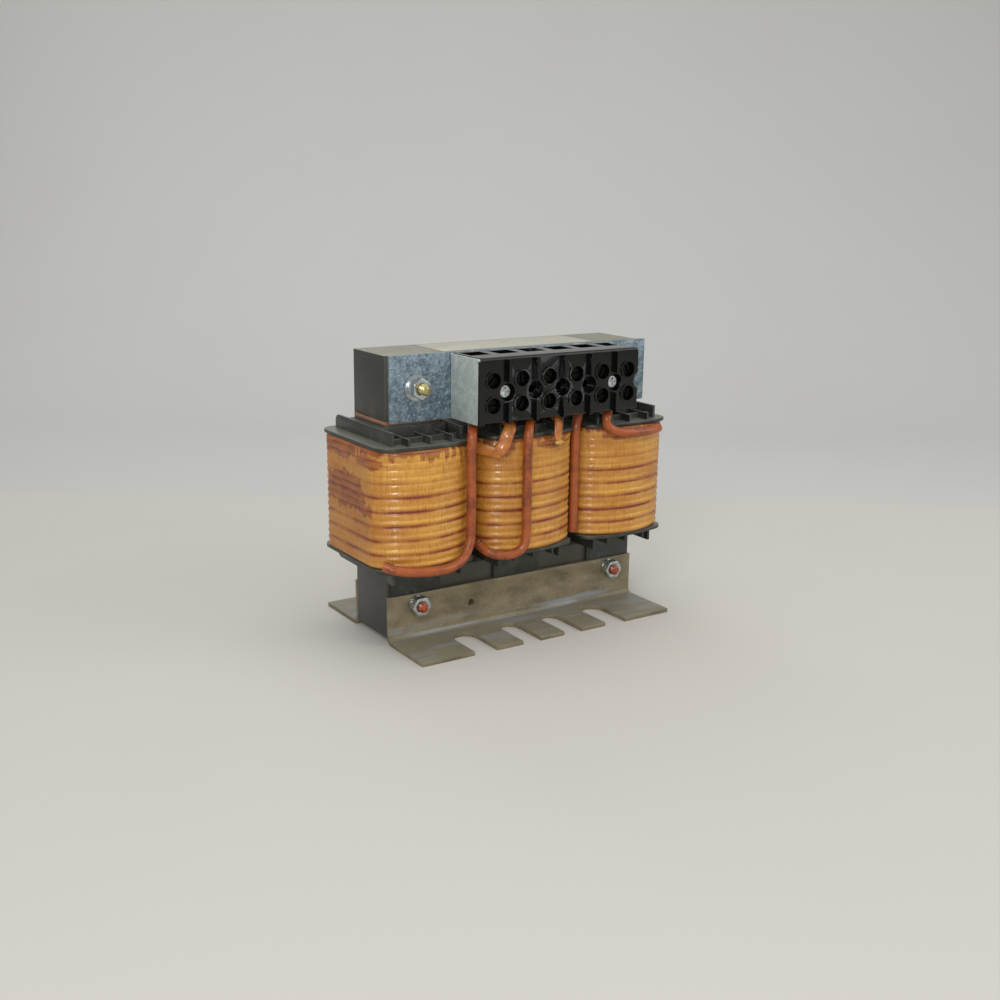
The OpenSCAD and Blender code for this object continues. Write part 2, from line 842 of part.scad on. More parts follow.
module barrier(x, w, split) {
    low_h = block_mid - boss_clear - block_z;
    high_h = block_top - block_mid - boss_clear - barrier_step;
    if (split) {
        translate([x - w / 2, -barrier_face, block_z])
            cube([w, barrier_out + overrun, low_h]);
        translate([x - w / 2, -barrier_face, block_mid + boss_clear])
            cube([w, barrier_out + overrun, high_h]);
    } else {
        translate([x - w / 2, -barrier_face, block_z])
            cube([w, barrier_out + overrun, block_h - barrier_step]);
    }
}

module mounting_sinks() {
    for (x = seam_xs)
        translate([x, -block_screw_seat, block_mid])
            rotate([90, 0, 0])
                cylinder(r = block_sink_r, h = block_sink_depth + barrier_out + overrun);
    for (k = [0 : poles - 2])
        translate([seam_xs[k], -block_back + overrun, block_mid])
            rotate([90, 0, 0])
                cylinder(r = block_hole_r, h = block_d + 2 * overrun);
}

module terminal_block() {
    color([0.07, 0.07, 0.07])
        difference() {
            union() {
                translate([block_left, 0, 0])
                    rotate([90, 0, 90])
                        linear_extrude(block_right - block_left)
                            block_section();
                for (k = [0 : poles - 2])
                    barrier(seam_xs[k], barrier_t, true);
                barrier(block_left + barrier_t / 2, barrier_t, false);
                translate([wing_out, -barrier_face, block_z])
                    cube([block_left - wing_out + barrier_t, lip_t, block_h - barrier_step]);
                for (x = pole_xs, side = [-1, 1])
                    translate([x, -pole_face, block_mid + side * clamp_rise])
                        rotate([90, 0, 0])
                            cylinder(r = rim_r, h = rim_h);
            }
            for (x = pole_xs, side = [-1, 1])
                clamp_chamber(x, side);
            for (x = pole_xs)
                bar_slot(x);
            mounting_sinks();
            corner_waste();
        }
}

// Waste of the rounded top right corner
module corner_waste() {
    translate([block_right - corner_round, -block_back + overrun, block_top - corner_round])
        rotate([90, 0, 0])
            difference() {
                cube([corner_round + overrun, corner_round + overrun,
                    block_d + barrier_out + 2 * overrun]);
                translate([0, 0, -overrun])
                    cylinder(r = corner_round, h = block_d + barrier_out + 4 * overrun);
            }
}

module terminal_bars() {
    color([0.72, 0.6, 0.35])
        for (x = pole_xs)
            translate([x - bar_w / 2, -bar_front, block_mid - bar_l / 2])
                cube([bar_w, bar_t, bar_l]);
}

module block_screw() {
    difference() {
        union() {
            cylinder(r = block_screw_head_r, h = block_screw_head_h - block_screw_dome);
            translate([0, 0, block_screw_head_h - block_screw_dome])
                cylinder(r1 = block_screw_head_r, r2 = block_screw_head_r - block_screw_dome,
                    h = block_screw_dome);
            translate([0, 0, -(block_screw_seat - block_screw_end)])
                cylinder(r = block_screw_r, h = block_screw_seat - block_screw_end + sink_play);
        }
        for (a = [0, 90])
            rotate([0, 0, a])
                translate([-cross_l / 2, -cross_w / 2, block_screw_head_h - cross_deep])
                    cube([cross_l, cross_w, cross_deep + overrun]);
    }
}

module block_screws() {
    color([0.72, 0.76, 0.8])
        for (x = [seam_xs[0], seam_xs[poles - 2]])
            translate([x, -block_screw_seat, block_mid])
                rotate([90, 0, 0])
                    block_screw();
}

// Cage clamps.
module clamp_screw(k, side) {
    color([0.6, 0.56, 0.42])
        translate([pole_xs[k], -screw_tip, block_mid + side * clamp_rise])
            rotate([90, 0, 0])
                difference() {
                    union() {
                        cylinder(d = screw_d, h = screw_len + screw_gap);
                        translate([0, 0, screw_len])
                            cylinder(d = screw_head_d, h = screw_head_h);
                    }
                    rotate([0, 0, 25 + 50 * k + 20 * side])
                        translate([-screw_head_d / 2 - overrun, -slot_w / 2,
                            screw_len + screw_head_h - slot_deep])
                            cube([screw_head_d + 2 * overrun, slot_w, slot_deep + overrun]);
                }
}

module cage_section() {
    difference() {
        translate([-cage_w / 2 + cage_round, cage_round])
            rounded_box(cage_w - 2 * cage_round, cage_len - 2 * cage_round);
        translate([-cage_w / 2 + cage_side, cage_back])
            square([cage_w - 2 * cage_side, cage_len - cage_back - cage_front]);
    }
}

module rounded_box(w, d) {
    translate([-cage_round, 0])
        square([w + 2 * cage_round, d]);
    translate([0, -cage_round])
        square([w, d + 2 * cage_round]);
    for (x = [0, w], y = [0, d])
        translate([x, y])
            circle(r = cage_round);
}

// The cage of pole k, drawn forwards by shift
module clamp_cage(k, side, shift) {
    color([0.66, 0.66, 0.6])
        translate([pole_xs[k], -cage_open_back - shift, block_mid + side * clamp_rise])
            difference() {
                translate([0, 0, -cage_h / 2])
                    mirror([0, 1, 0])
                        linear_extrude(cage_h)
                            cage_section();
                translate([0, -cage_len + cage_front + overrun, 0])
                    rotate([90, 0, 0])
                        cylinder(r = screw_d / 2 + screw_play, h = cage_front + 2 * overrun);
            }
}

// Bobbins.
module flange_plate(z) {
    translate([0, 0, z])
        linear_extrude(flange_t)
            polygon(plan_ring(flange_plan, 0, 7, 8, 8));
}

// Upright walls and ribs on the outside of one flange, upwards from z = 0
module flange_walls() {
    reach = bobbin_d / 2 * rib_end_share;
    cross_y = tube_out[1] + (reach - tube_out[1]) * cross_rib_share;
    for (side = [-1, 1])
        translate([side * (collar_x + collar_t / 2) - collar_t / 2, 0, 0])
            rotate([90, 0, 90])
                linear_extrude(collar_t)
                    collar_section();
    for (side = [-1, 1]) {
        for (share = rib_xs_share)
            translate([share * collar_x - rib_t / 2, side > 0 ? tube_out[1] - overrun / 2 : -reach, 0])
                cube([rib_t, reach - tube_out[1] + overrun / 2, rib_h]);
        translate([-collar_x - collar_t / 2, side * cross_y - rib_t / 2, 0])
            cube([2 * collar_x + collar_t, rib_t, rib_h - cross_rib_drop]);
    }
}

module collar_section() {
    difference() {
        translate([-collar_d / 2, -flange_t / 2])
            square([collar_d, collar_h + flange_t / 2]);
        translate([collar_d / 2 - collar_round, collar_h - collar_round])
            difference() {
                square([collar_round + overrun, collar_round + overrun]);
                circle(r = collar_round);
            }
    }
}

module bobbin(x) {
    skirt_z = angle_h + skirt_gap;
    color([0.13, 0.13, 0.12])
        translate([x, 0, 0])
            difference() {
                union() {
                    flange_plate(lower_flange);
                    flange_plate(upper_flange - flange_t);
                    translate([-tube_out[0], -tube_out[1], yoke_z])
                        cube([2 * tube_out[0], 2 * tube_out[1], bobbin_h]);
                    translate([0, 0, upper_flange])
                        flange_walls();
                    translate([0, 0, lower_flange])
                        mirror([0, 0, 1])
                            flange_walls();
                    for (side = [-1, 1])
                        translate([-skirt_w / 2, side > 0 ? tube_in[1] : -tube_out[1], skirt_z])
                            cube([skirt_w, bobbin_wall, lower_flange - skirt_z]);
                }
                translate([-tube_in[0], -tube_in[1], yoke_z - overrun])
                    cube([2 * tube_in[0], 2 * tube_in[1], bobbin_h + 2 * overrun]);
            }
}

module bobbin_left() {
    bobbin(legs[0]);
}

module bobbin_middle() {
    bobbin(legs[1]);
}

module bobbin_right() {
    bobbin(legs[2]);
}

// Windings.
module winding_core(x) {
    hole = [tube_out[0] + winding_play, tube_out[1] + winding_play];
    color([0.5, 0.3, 0.14])
        translate([x, 0, wind_z])
            difference() {
                linear_extrude(wind_h)
                    polygon([for (dir = turn_dirs) plan_point(coil_plan, dir, -wire_d - turn_seat)]);
                translate([-hole[0], -hole[1], -overrun])
                    cube([2 * hole[0], 2 * hole[1], wind_h + 2 * overrun]);
            }
}

module winding_turns(x) {
    rings = winding_rings();
    color([0.71, 0.5, 0.23])
        translate([x, 0, 0])
            polyhedron(
                points = [for (ring = rings, p = ring) p],
                faces = tube_faces(len(rings), wire_sides)
            );
}

// Leads.
// A sleeved lead along a route, with its bare end upright in the clamp at x
module lead(route, x) {
    top = [[x, wire_y, block_z], [x, wire_y, sleeve_end]];
    bends = [for (p = route) placed(p)];
    path = concat(spline(concat(bends, top), lead_steps), [top[1]]);
    count = len(path);
    normals = [
        for (i = 0, n = flat_to(side_hint, way(path, 0)); i < count;
            i = i + 1, n = flat_to(n, way(path, min(i, count - 1)))) n
    ];
    rings = concat(
        [for (i = [0 : count - 2]) lead_ring(path[i], way(path, i), normals[i], lead_d / 2)],
        [
            lead_ring(path[count - 1], [0, 0, 1], flat_to(normals[count - 1], [0, 0, 1]), lead_d / 2),
            lead_ring(path[count - 1], [0, 0, 1], flat_to(normals[count - 1], [0, 0, 1]), lead_wire_d / 2),
            lead_ring([x, wire_y, wire_end], [0, 0, 1],
                flat_to(normals[count - 1], [0, 0, 1]), lead_wire_d / 2)
        ]
    );
    color([0.62, 0.34, 0.18])
        polyhedron(
            points = [for (ring = rings, p = ring) p],
            faces = tube_faces(len(rings), lead_sides)
        );
}

function lead_ring(centre, along, side, r) =
    let (up = cross(along, side))
    [for (k = [0 : lead_sides - 1])
        let (a = 360 * k / lead_sides)
        centre + r * (cos(a) * side + sin(a) * up)];

e_core();
top_yoke();
gap_spacers();
front_mounting_angle();
rear_mounting_angle();
lower_bolts();
lower_nuts();
lower_flat_washers();
lower_lock_washers();
upper_bolts();
upper_nuts();
upper_flat_washers();
upper_lock_washers();
bolt_sleeves();
front_clamp_plate();
terminal_bracket();
terminal_block();
terminal_bars();
block_screws();
rating_label();
bobbin_left();
bobbin_middle();
bobbin_right();
winding_core(legs[0]);  // winding_core_left
winding_core(legs[1]);  // winding_core_middle
winding_core(legs[2]);  // winding_core_right
winding_turns(legs[0]);  // winding_turns_left
winding_turns(legs[1]);  // winding_turns_middle
winding_turns(legs[2]);  // winding_turns_right
lead(route_1, pole_xs[0]);  // lead_1
lead(route_2, pole_xs[1]);  // lead_2
lead(route_3, pole_xs[2]);  // lead_3
lead(route_4, pole_xs[3] + lead_4_shift);  // lead_4
lead(route_5, pole_xs[4]);  // lead_5
lead(route_6, pole_xs[5]);  // lead_6
clamp_screw(0, 1);  // clamp_screw_top_1
clamp_screw(1, 1);  // clamp_screw_top_2
clamp_screw(2, 1);  // clamp_screw_top_3
clamp_screw(3, 1);  // clamp_screw_top_4
clamp_screw(4, 1);  // clamp_screw_top_5
clamp_screw(5, 1);  // clamp_screw_top_6
clamp_screw(0, -1);  // clamp_screw_bottom_1
clamp_screw(1, -1);  // clamp_screw_bottom_2
clamp_screw(2, -1);  // clamp_screw_bottom_3
clamp_screw(3, -1);  // clamp_screw_bottom_4
clamp_screw(4, -1);  // clamp_screw_bottom_5
clamp_screw(5, -1);  // clamp_screw_bottom_6
clamp_cage(0, 1, 0);  // clamp_cage_top_1
clamp_cage(1, 1, 0);  // clamp_cage_top_2
clamp_cage(2, 1, 0);  // clamp_cage_top_3
clamp_cage(3, 1, 0);  // clamp_cage_top_4
clamp_cage(4, 1, 0);  // clamp_cage_top_5
clamp_cage(5, 1, 0);  // clamp_cage_top_6
clamp_cage(0, -1, lower_shift);  // clamp_cage_bottom_1
clamp_cage(1, -1, lower_shift);  // clamp_cage_bottom_2
clamp_cage(2, -1, lower_shift);  // clamp_cage_bottom_3
clamp_cage(3, -1, lower_shift);  // clamp_cage_bottom_4
clamp_cage(4, -1, lower_shift);  // clamp_cage_bottom_5
clamp_cage(5, -1, lower_shift);  // clamp_cage_bottom_6
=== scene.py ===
"""Three-phase line reactor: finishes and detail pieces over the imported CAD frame.

The CAD nodes give every size and place. This script gives each of them its
finish and puts finer pieces where a plain solid would show. Sizes are in
millimetres in the frame of the part's source (X along the width, -Y to the
front, Z = 0 on the floor), and a mesh is scaled to metres when it becomes a
piece.
"""

import logging
import math
from dataclasses import dataclass, field
from enum import Enum
from typing import Any, Callable, Sequence

import bmesh
import bpy
from mathutils import Matrix, Vector, noise


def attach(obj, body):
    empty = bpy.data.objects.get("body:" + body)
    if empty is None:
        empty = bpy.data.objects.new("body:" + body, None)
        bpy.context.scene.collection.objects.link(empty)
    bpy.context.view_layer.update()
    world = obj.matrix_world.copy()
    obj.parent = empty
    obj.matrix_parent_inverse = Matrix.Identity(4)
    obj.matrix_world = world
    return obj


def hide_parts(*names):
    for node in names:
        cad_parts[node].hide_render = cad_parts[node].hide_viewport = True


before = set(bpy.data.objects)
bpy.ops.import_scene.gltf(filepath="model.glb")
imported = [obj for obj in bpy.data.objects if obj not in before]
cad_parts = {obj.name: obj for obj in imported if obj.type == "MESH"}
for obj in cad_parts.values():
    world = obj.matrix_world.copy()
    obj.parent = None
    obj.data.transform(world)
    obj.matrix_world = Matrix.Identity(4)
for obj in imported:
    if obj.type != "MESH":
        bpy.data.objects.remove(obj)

Triple = tuple[float, float, float]

LOG = logging.getLogger("line_reactor")
MM = 0.001
ROOT = "reactor"
SAME_SPOT = 0.0005
SAME_SEAM = 0.0001
FLAT_ANGLE = 0.4
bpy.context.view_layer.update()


def srgb(red: float, green: float, blue: float) -> tuple[float, float, float, float]:
    """Turns a screen colour into the linear one that shaders take.

    Args:
        red: Red from 0 to 255.
        green: Green from 0 to 255.
        blue: Blue from 0 to 255.

    Returns:
        Linear red, green, blue and an alpha of 1.
    """

    def linear(value: float) -> float:
        """Undoes the screen's curve for one channel."""
        share = value / 255
        return share / 12.92 if share <= 0.04045 else ((share + 0.055) / 1.055) ** 2.4

    return linear(red), linear(green), linear(blue), 1.0


def smooth(low: float, high: float, value: float) -> float:
    """Steps smoothly from 0 at low to 1 at high; low may be the larger one.

    Args:
        low: Where the result is 0.
        high: Where the result is 1.
        value: The number to place between them.

    Returns:
        A share from 0 to 1.
    """
    share = min(1.0, max(0.0, (value - low) / (high - low)))
    return share * share * (3 - 2 * share)


class Wire:
    """A node socket that adds Math nodes when it stands in an expression."""

    def __init__(self, graph: "Graph", socket: bpy.types.NodeSocket) -> None:
        """Keeps the graph that new nodes join and the socket that is wrapped."""
        self.graph = graph
        self.socket = socket

    def math(self, operation: str, *others: "Wire | float") -> "Wire":
        """Adds one Math node with this wire as its first input.

        Args:
            operation: The node's operation.
            others: Its further inputs, in order.

        Returns:
            The node's result.
        """
        sockets = dict(enumerate((self, *others)))
        return self.graph.node("ShaderNodeMath", {"operation": operation}, sockets)

    def __add__(self, other: "Wire | float") -> "Wire":
        """Adds."""
        return self.math("ADD", other)

    def __radd__(self, other: float) -> "Wire":
        """Adds with the number first."""
        return self + other

    def __sub__(self, other: "Wire | float") -> "Wire":
        """Subtracts."""
        return self.math("SUBTRACT", other)

    def __rsub__(self, other: float) -> "Wire":
        """Subtracts from a number."""
        return self * -1.0 + other

    def __mul__(self, other: "Wire | float") -> "Wire":
        """Multiplies."""
        return self.math("MULTIPLY", other)

    def __rmul__(self, other: float) -> "Wire":
        """Multiplies with the number first."""
        return self * other

    def wave(self) -> "Wire":
        """Runs from 0 to 1 and back over each length of 1."""
        return self.math("PINGPONG", 0.5) * 2.0

    def step(self, low: float, high: float) -> "Wire":
        """Steps smoothly from 0 at low to 1 at high.

        Args:
            low: Where the result is 0.
            high: Where the result is 1; it may be below low.

        Returns:
            A share from 0 to 1.
        """
        sockets = {0: self, 1: low, 2: high, 3: 0.0, 4: 1.0}
        return self.graph.node(
            "ShaderNodeMapRange", {"interpolation_type": "SMOOTHSTEP"}, sockets
        )


class Graph:
    """The node tree of one material, built round a Principled shader."""

    def __init__(self, name: str) -> None:
        """Starts a material with its shader, output and Object coordinates.

        Args:
            name: The material's name.
        """
        self.material = bpy.data.materials.new(name)
        self.material.use_nodes = True
        self.tree = self.material.node_tree
        self.tree.nodes.clear()
        self.shader = self.tree.nodes.new("ShaderNodeBsdfPrincipled")
        output = self.tree.nodes.new("ShaderNodeOutputMaterial")
        self.tree.links.new(self.shader.outputs[0], output.inputs[0])
        self.place = self.node("ShaderNodeTexCoord", output="Object")

    def node(
        self,
        kind: str,
        settings: dict[str, Any] | None = None,
        sockets: dict[int | str, Any] | None = None,
        output: int | str = 0,
    ) -> Wire:
        """Adds any node.

        Args:
            kind: The node's type.
            settings: Its properties, set first.
            sockets: Values or wires by socket name or number.
            output: The output that is passed on.

        Returns:
            That output.
        """
        made = self.tree.nodes.new(kind)
        for key, value in (settings or {}).items():
            setattr(made, key, value)
        for key, value in (sockets or {}).items():
            self._feed(made.inputs[key], value)
        return Wire(self, made.outputs[output])

    def _feed(self, socket: bpy.types.NodeSocket, value: Any) -> None:
        """Links a wire to a socket, or sets its value."""
        if isinstance(value, Wire):
            self.tree.links.new(value.socket, socket)
        else:
            socket.default_value = value

    def shade(
        self,
        base: Wire,
        rough: Wire | float,
        normal: Wire | None = None,
        coat: tuple[float, float] = (0.0, 0.03),
        metallic: float = 0.0,
        gloss: float = 0.5,
    ) -> bpy.types.Material:
        """Feeds the shader and gives back the material.

        Args:
            base: The base colour.
            rough: The roughness.
            normal: The bent normal, or the plain one.
            coat: Weight and roughness of the clear coat.
            metallic: Share of metal.
            gloss: The specular level.

        Returns:
            The finished material.
        """
        sockets = {
            "Base Color": base,
            "Roughness": rough,
            "Metallic": metallic,
            "Specular IOR Level": gloss,
            "Coat Weight": coat[0],
            "Coat Roughness": coat[1],
        }
        if normal:
            sockets["Normal"] = normal
        for key, value in sockets.items():
            self._feed(self.shader.inputs[key], value)
        return self.material

    def noise(
        self,
        size: float,
        detail: float = 3.0,
        stretch: Triple = (1, 1, 1),
        rough: float = 0.55,
        shift: Triple = (0, 0, 0),
    ) -> Wire:
        """Adds fractal noise.

        Args:
            size: Size of a blot in millimetres.
            detail: Number of finer layers.
            stretch: How often it repeats along each axis; small is long.
            rough: Weight of the finer layers.
            shift: Offset of the pattern, in blots.

        Returns:
            The noise, about 0.5 on average.
        """
        scale = tuple(axis / (size * MM) for axis in stretch)
        where = self.node(
            "ShaderNodeMapping",
            sockets={"Vector": self.place, "Scale": scale, "Location": shift},
        )
        sockets = {"Vector": where, "Scale": 1.0, "Detail": detail, "Roughness": rough}
        return self.node("ShaderNodeTexNoise", sockets=sockets)

    def cells(self, size: float) -> Wire:
        """Gives a random colour to each Voronoi cell.

        Args:
            size: Width of a cell in millimetres.

        Returns:
            The colour.
        """
        scale = (1 / (size * MM),) * 3
        where = self.node("ShaderNodeMapping", sockets={"Vector": self.place, "Scale": scale})
        return self.node(
            "ShaderNodeTexVoronoi", sockets={"Vector": where, "Scale": 1.0}, output="Color"
        )

    def split(self, vector: Wire, axis: str) -> Wire:
        """Takes X, Y or Z of a vector."""
        return self.node("ShaderNodeSeparateXYZ", sockets={0: vector}, output=axis)

    def facing(self, axis: str) -> Wire:
        """Takes X, Y or Z of the surface's normal."""
        return self.split(self.node("ShaderNodeNewGeometry", output="Normal"), axis)

    def mix(self, base: Wire | Triple, over: Wire | Triple, share: Wire) -> Wire:
        """Mixes two colours, each a wire or a screen colour.

        Args:
            base: The colour at a share of 0.
            over: The colour at a share of 1.
            share: The share of the second one.

        Returns:
            The mixed colour.
        """
        colours = [item if isinstance(item, Wire) else srgb(*item) for item in (base, over)]
        settings = {"data_type": "RGBA", "blend_type": "MIX"}
        sockets = {0: share, 6: colours[0], 7: colours[1]}
        return self.node("ShaderNodeMix", settings, sockets, 2)

    def bump(self, height: Wire, depth: float) -> Wire:
        """Adds a Bump node.

        Args:
            height: Heights from 0 to 1.
            depth: Height of 1, in millimetres.

        Returns:
            The bent normal.
        """
        sockets = {"Height": height, "Distance": depth * MM, "Strength": 1.0}
        return self.node("ShaderNodeBump", sockets=sockets)


@dataclass(frozen=True)
class Finish:
    """A named surface finish that becomes one material.

    slot may hold another name for the finish.
    """

    name: str
    slot: str = field(default="", kw_only=True)

    def material(self) -> bpy.types.Material:
        """Gives the material, made at its first use."""
        name = f"{self.name}_finish"
        return bpy.data.materials.get(name) or self.paint(Graph(name))

    def paint(self, graph: Graph) -> bpy.types.Material:
        """Builds the nodes; each kind of finish has its own."""
        raise NotImplementedError


@dataclass(frozen=True)
class LaminatedSteel(Finish):
    """Stacked steel sheets under dull varnish, with their edges across Y."""

    face: Triple = (56, 53, 43)
    edge: Triple = (44, 44, 42)
    top: Triple = (112, 112, 96)
    sheet: float = 0.5

    def paint(self, graph: Graph) -> bpy.types.Material:
        """Builds the varnish, with sheet lines where the stack is cut."""
        depth = graph.split(graph.place, "Y") * (1 / (self.sheet * MM))
        cut = graph.facing("Y").math("ABSOLUTE").step(0.9, 0.4)
        above = graph.facing("Z").step(0.4, 0.9)
        lines = depth.wave() * cut
        cloud = graph.noise(14, 4)
        streak = graph.noise(3, 3, (0.25, 8, 1))
        base = graph.mix(self.face, self.edge, cut)
        base = graph.mix(base, self.top, above)
        base = graph.mix(base, (96, 92, 74), cloud.step(0.5, 0.85) * 0.45)
        base = graph.mix(base, (14, 14, 13), lines.step(0.6, 1.0) * 0.35)
        base = graph.mix(base, (118, 112, 96), streak.step(0.62, 0.8) * cut * 0.25)
        height = lines * 0.5 + cloud * 0.4
        return graph.shade(base, 0.34 + cloud * 0.25, graph.bump(height, 0.12), coat=(0.25, 0.22))


@dataclass(frozen=True)
class SheetSteel(Finish):
    """Bare hot-rolled sheet steel, stained brown by clear varnish."""

    base: Triple = (124, 113, 86)
    dark: Triple = (92, 81, 59)
    pale: Triple = (164, 160, 144)
    flat: Triple = (122, 118, 102)

    def paint(self, graph: Graph) -> bpy.types.Material:
        """Builds mottled steel with blue-grey streaks and pale specks."""
        mottle = graph.noise(11, 5, (0.5, 1, 1))
        fine = graph.noise(1.6, 4)
        streak = graph.noise(6, 4, (0.12, 1, 1.6), shift=(3, 1, 4))
        height = graph.split(graph.place, "Z") * (1 / MM)
        bend = height.step(13, 6) * height.step(1.2, 3.6)
        speck = graph.noise(0.9, 1, shift=(7, 2, 5)).step(0.77, 0.81)
        base = graph.mix(self.base, self.dark, mottle.step(0.35, 0.75))
        level = graph.facing("Z").step(0.5, 0.95) * (mottle * 0.7 + 0.35)
        base = graph.mix(base, self.flat, level)
        base = graph.mix(base, self.pale, fine.step(0.5, 0.85) * 0.4)
        base = graph.mix(base, (140, 146, 154), streak.step(0.45, 0.72) * bend * 0.75)
        base = graph.mix(base, (198, 194, 182), speck * 0.8)
        rough = 0.38 + mottle * 0.25
        return graph.shade(
            base, rough, graph.bump(fine + mottle * 0.6, 0.1), coat=(0.2, 0.3), metallic=0.1
        )


@dataclass(frozen=True)
class GalvanisedSheet(Finish):
    """Zinc-coated sheet with its spangle."""

    base: Triple = (130, 146, 154)
    dark: Triple = (78, 96, 110)
    metallic: float = 0.3
    spangle: Triple = (168, 184, 190)
    sparkle: float = 0.7

    def paint(self, graph: Graph) -> bpy.types.Material:
        """Builds cells of slightly different brightness, and long smears."""
        tone = graph.split(graph.cells(3.4), "X")
        fine = graph.split(graph.cells(1.1), "Y")
        smear = graph.noise(12, 4, (0.6, 1, 0.35))
        spots = graph.noise(0.8, 2)
        grain = graph.noise(1.7, 5, rough=0.75, shift=(2, 6, 3))
        shade = tone * 0.4 + fine * 0.3 + smear * 0.5
        base = graph.mix(self.base, self.dark, shade.step(0.3, 0.85))
        base = graph.mix(base, self.spangle, grain.step(0.52, 0.68) * self.sparkle)
        base = graph.mix(base, self.dark, grain.step(0.46, 0.32) * 0.6)
        base = graph.mix(base, (206, 214, 216), spots.step(0.6, 0.76) * self.sparkle * 0.8)
        rough = 0.26 + tone * 0.2
        return graph.shade(base, rough, graph.bump(shade, 0.05), metallic=self.metallic)


@dataclass(frozen=True)
class PlatedSteel(Finish):
    """Plated fasteners and clamps, with a little staining."""

    base: Triple = (196, 202, 204)
    stain: Triple = (150, 146, 130)
    rough: float = 0.2

    def paint(self, graph: Graph) -> bpy.types.Material:
        """Builds bright plating with faint clouds and scratches."""
        cloud = graph.noise(3, 4)
        scratch = graph.noise(0.7, 3, (1, 0.2, 1))
        base = graph.mix(self.base, self.stain, cloud.step(0.4, 0.8) * 0.7)
        return graph.shade(
            base, self.rough + scratch * 0.18, graph.bump(scratch, 0.02), metallic=1.0
        )


@dataclass(frozen=True)
class MouldedPlastic(Finish):
    """Dark moulded plastic, with dust and varnish smears."""

    base: Triple = (20, 20, 20)
    haze: Triple = (58, 58, 54)
    haze_share: float = 0.25
    rough: float = 0.2
    coat: float = 0.4
    # Share of painted sheen on upward faces, in the haze colour.
    top_sheen_share: float = 0.0
    gloss: float = 0.5

    def paint(self, graph: Graph) -> bpy.types.Material:
        """Builds a dark gloss with a faint haze, a painted sheen on upward faces and a fine orange
        peel.
        """
        cloud = graph.noise(9, 4)
        dust = graph.noise(1.1, 3, shift=(4, 4, 1)).step(0.6, 0.8)
        peel = graph.noise(2.4, 2)
        base = graph.mix(
            self.base, self.haze, cloud.step(0.45, 0.85) * self.haze_share
        )
        base = graph.mix(base, self.haze, dust * self.haze_share)
        # Painted sheen: upward faces turned greyer towards the haze colour, as if lit from above.
        if self.top_sheen_share:
            above = graph.facing("Z").step(0.6, 0.95)
            base = graph.mix(base, self.haze, above * self.top_sheen_share)
        return graph.shade(
            base,
            self.rough + cloud * 0.12 + dust * 0.1,
            graph.bump(peel + cloud * 0.5, 0.05),
            coat=(self.coat, 0.08),
            gloss=self.gloss,
        )


@dataclass(frozen=True)
class VarnishedBoard(Finish):
    """Insulating board soaked in orange-brown varnish."""

    base: Triple = (150, 88, 40)

    def paint(self, graph: Graph) -> bpy.types.Material:
        """Builds glossy board with darker runs."""
        runs = graph.noise(5, 4, (0.4, 0.4, 2))
        base = graph.mix(self.base, (84, 42, 20), runs.step(0.4, 0.75))
        return graph.shade(base, 0.3, graph.bump(runs, 0.1), coat=(0.8, 0.1))


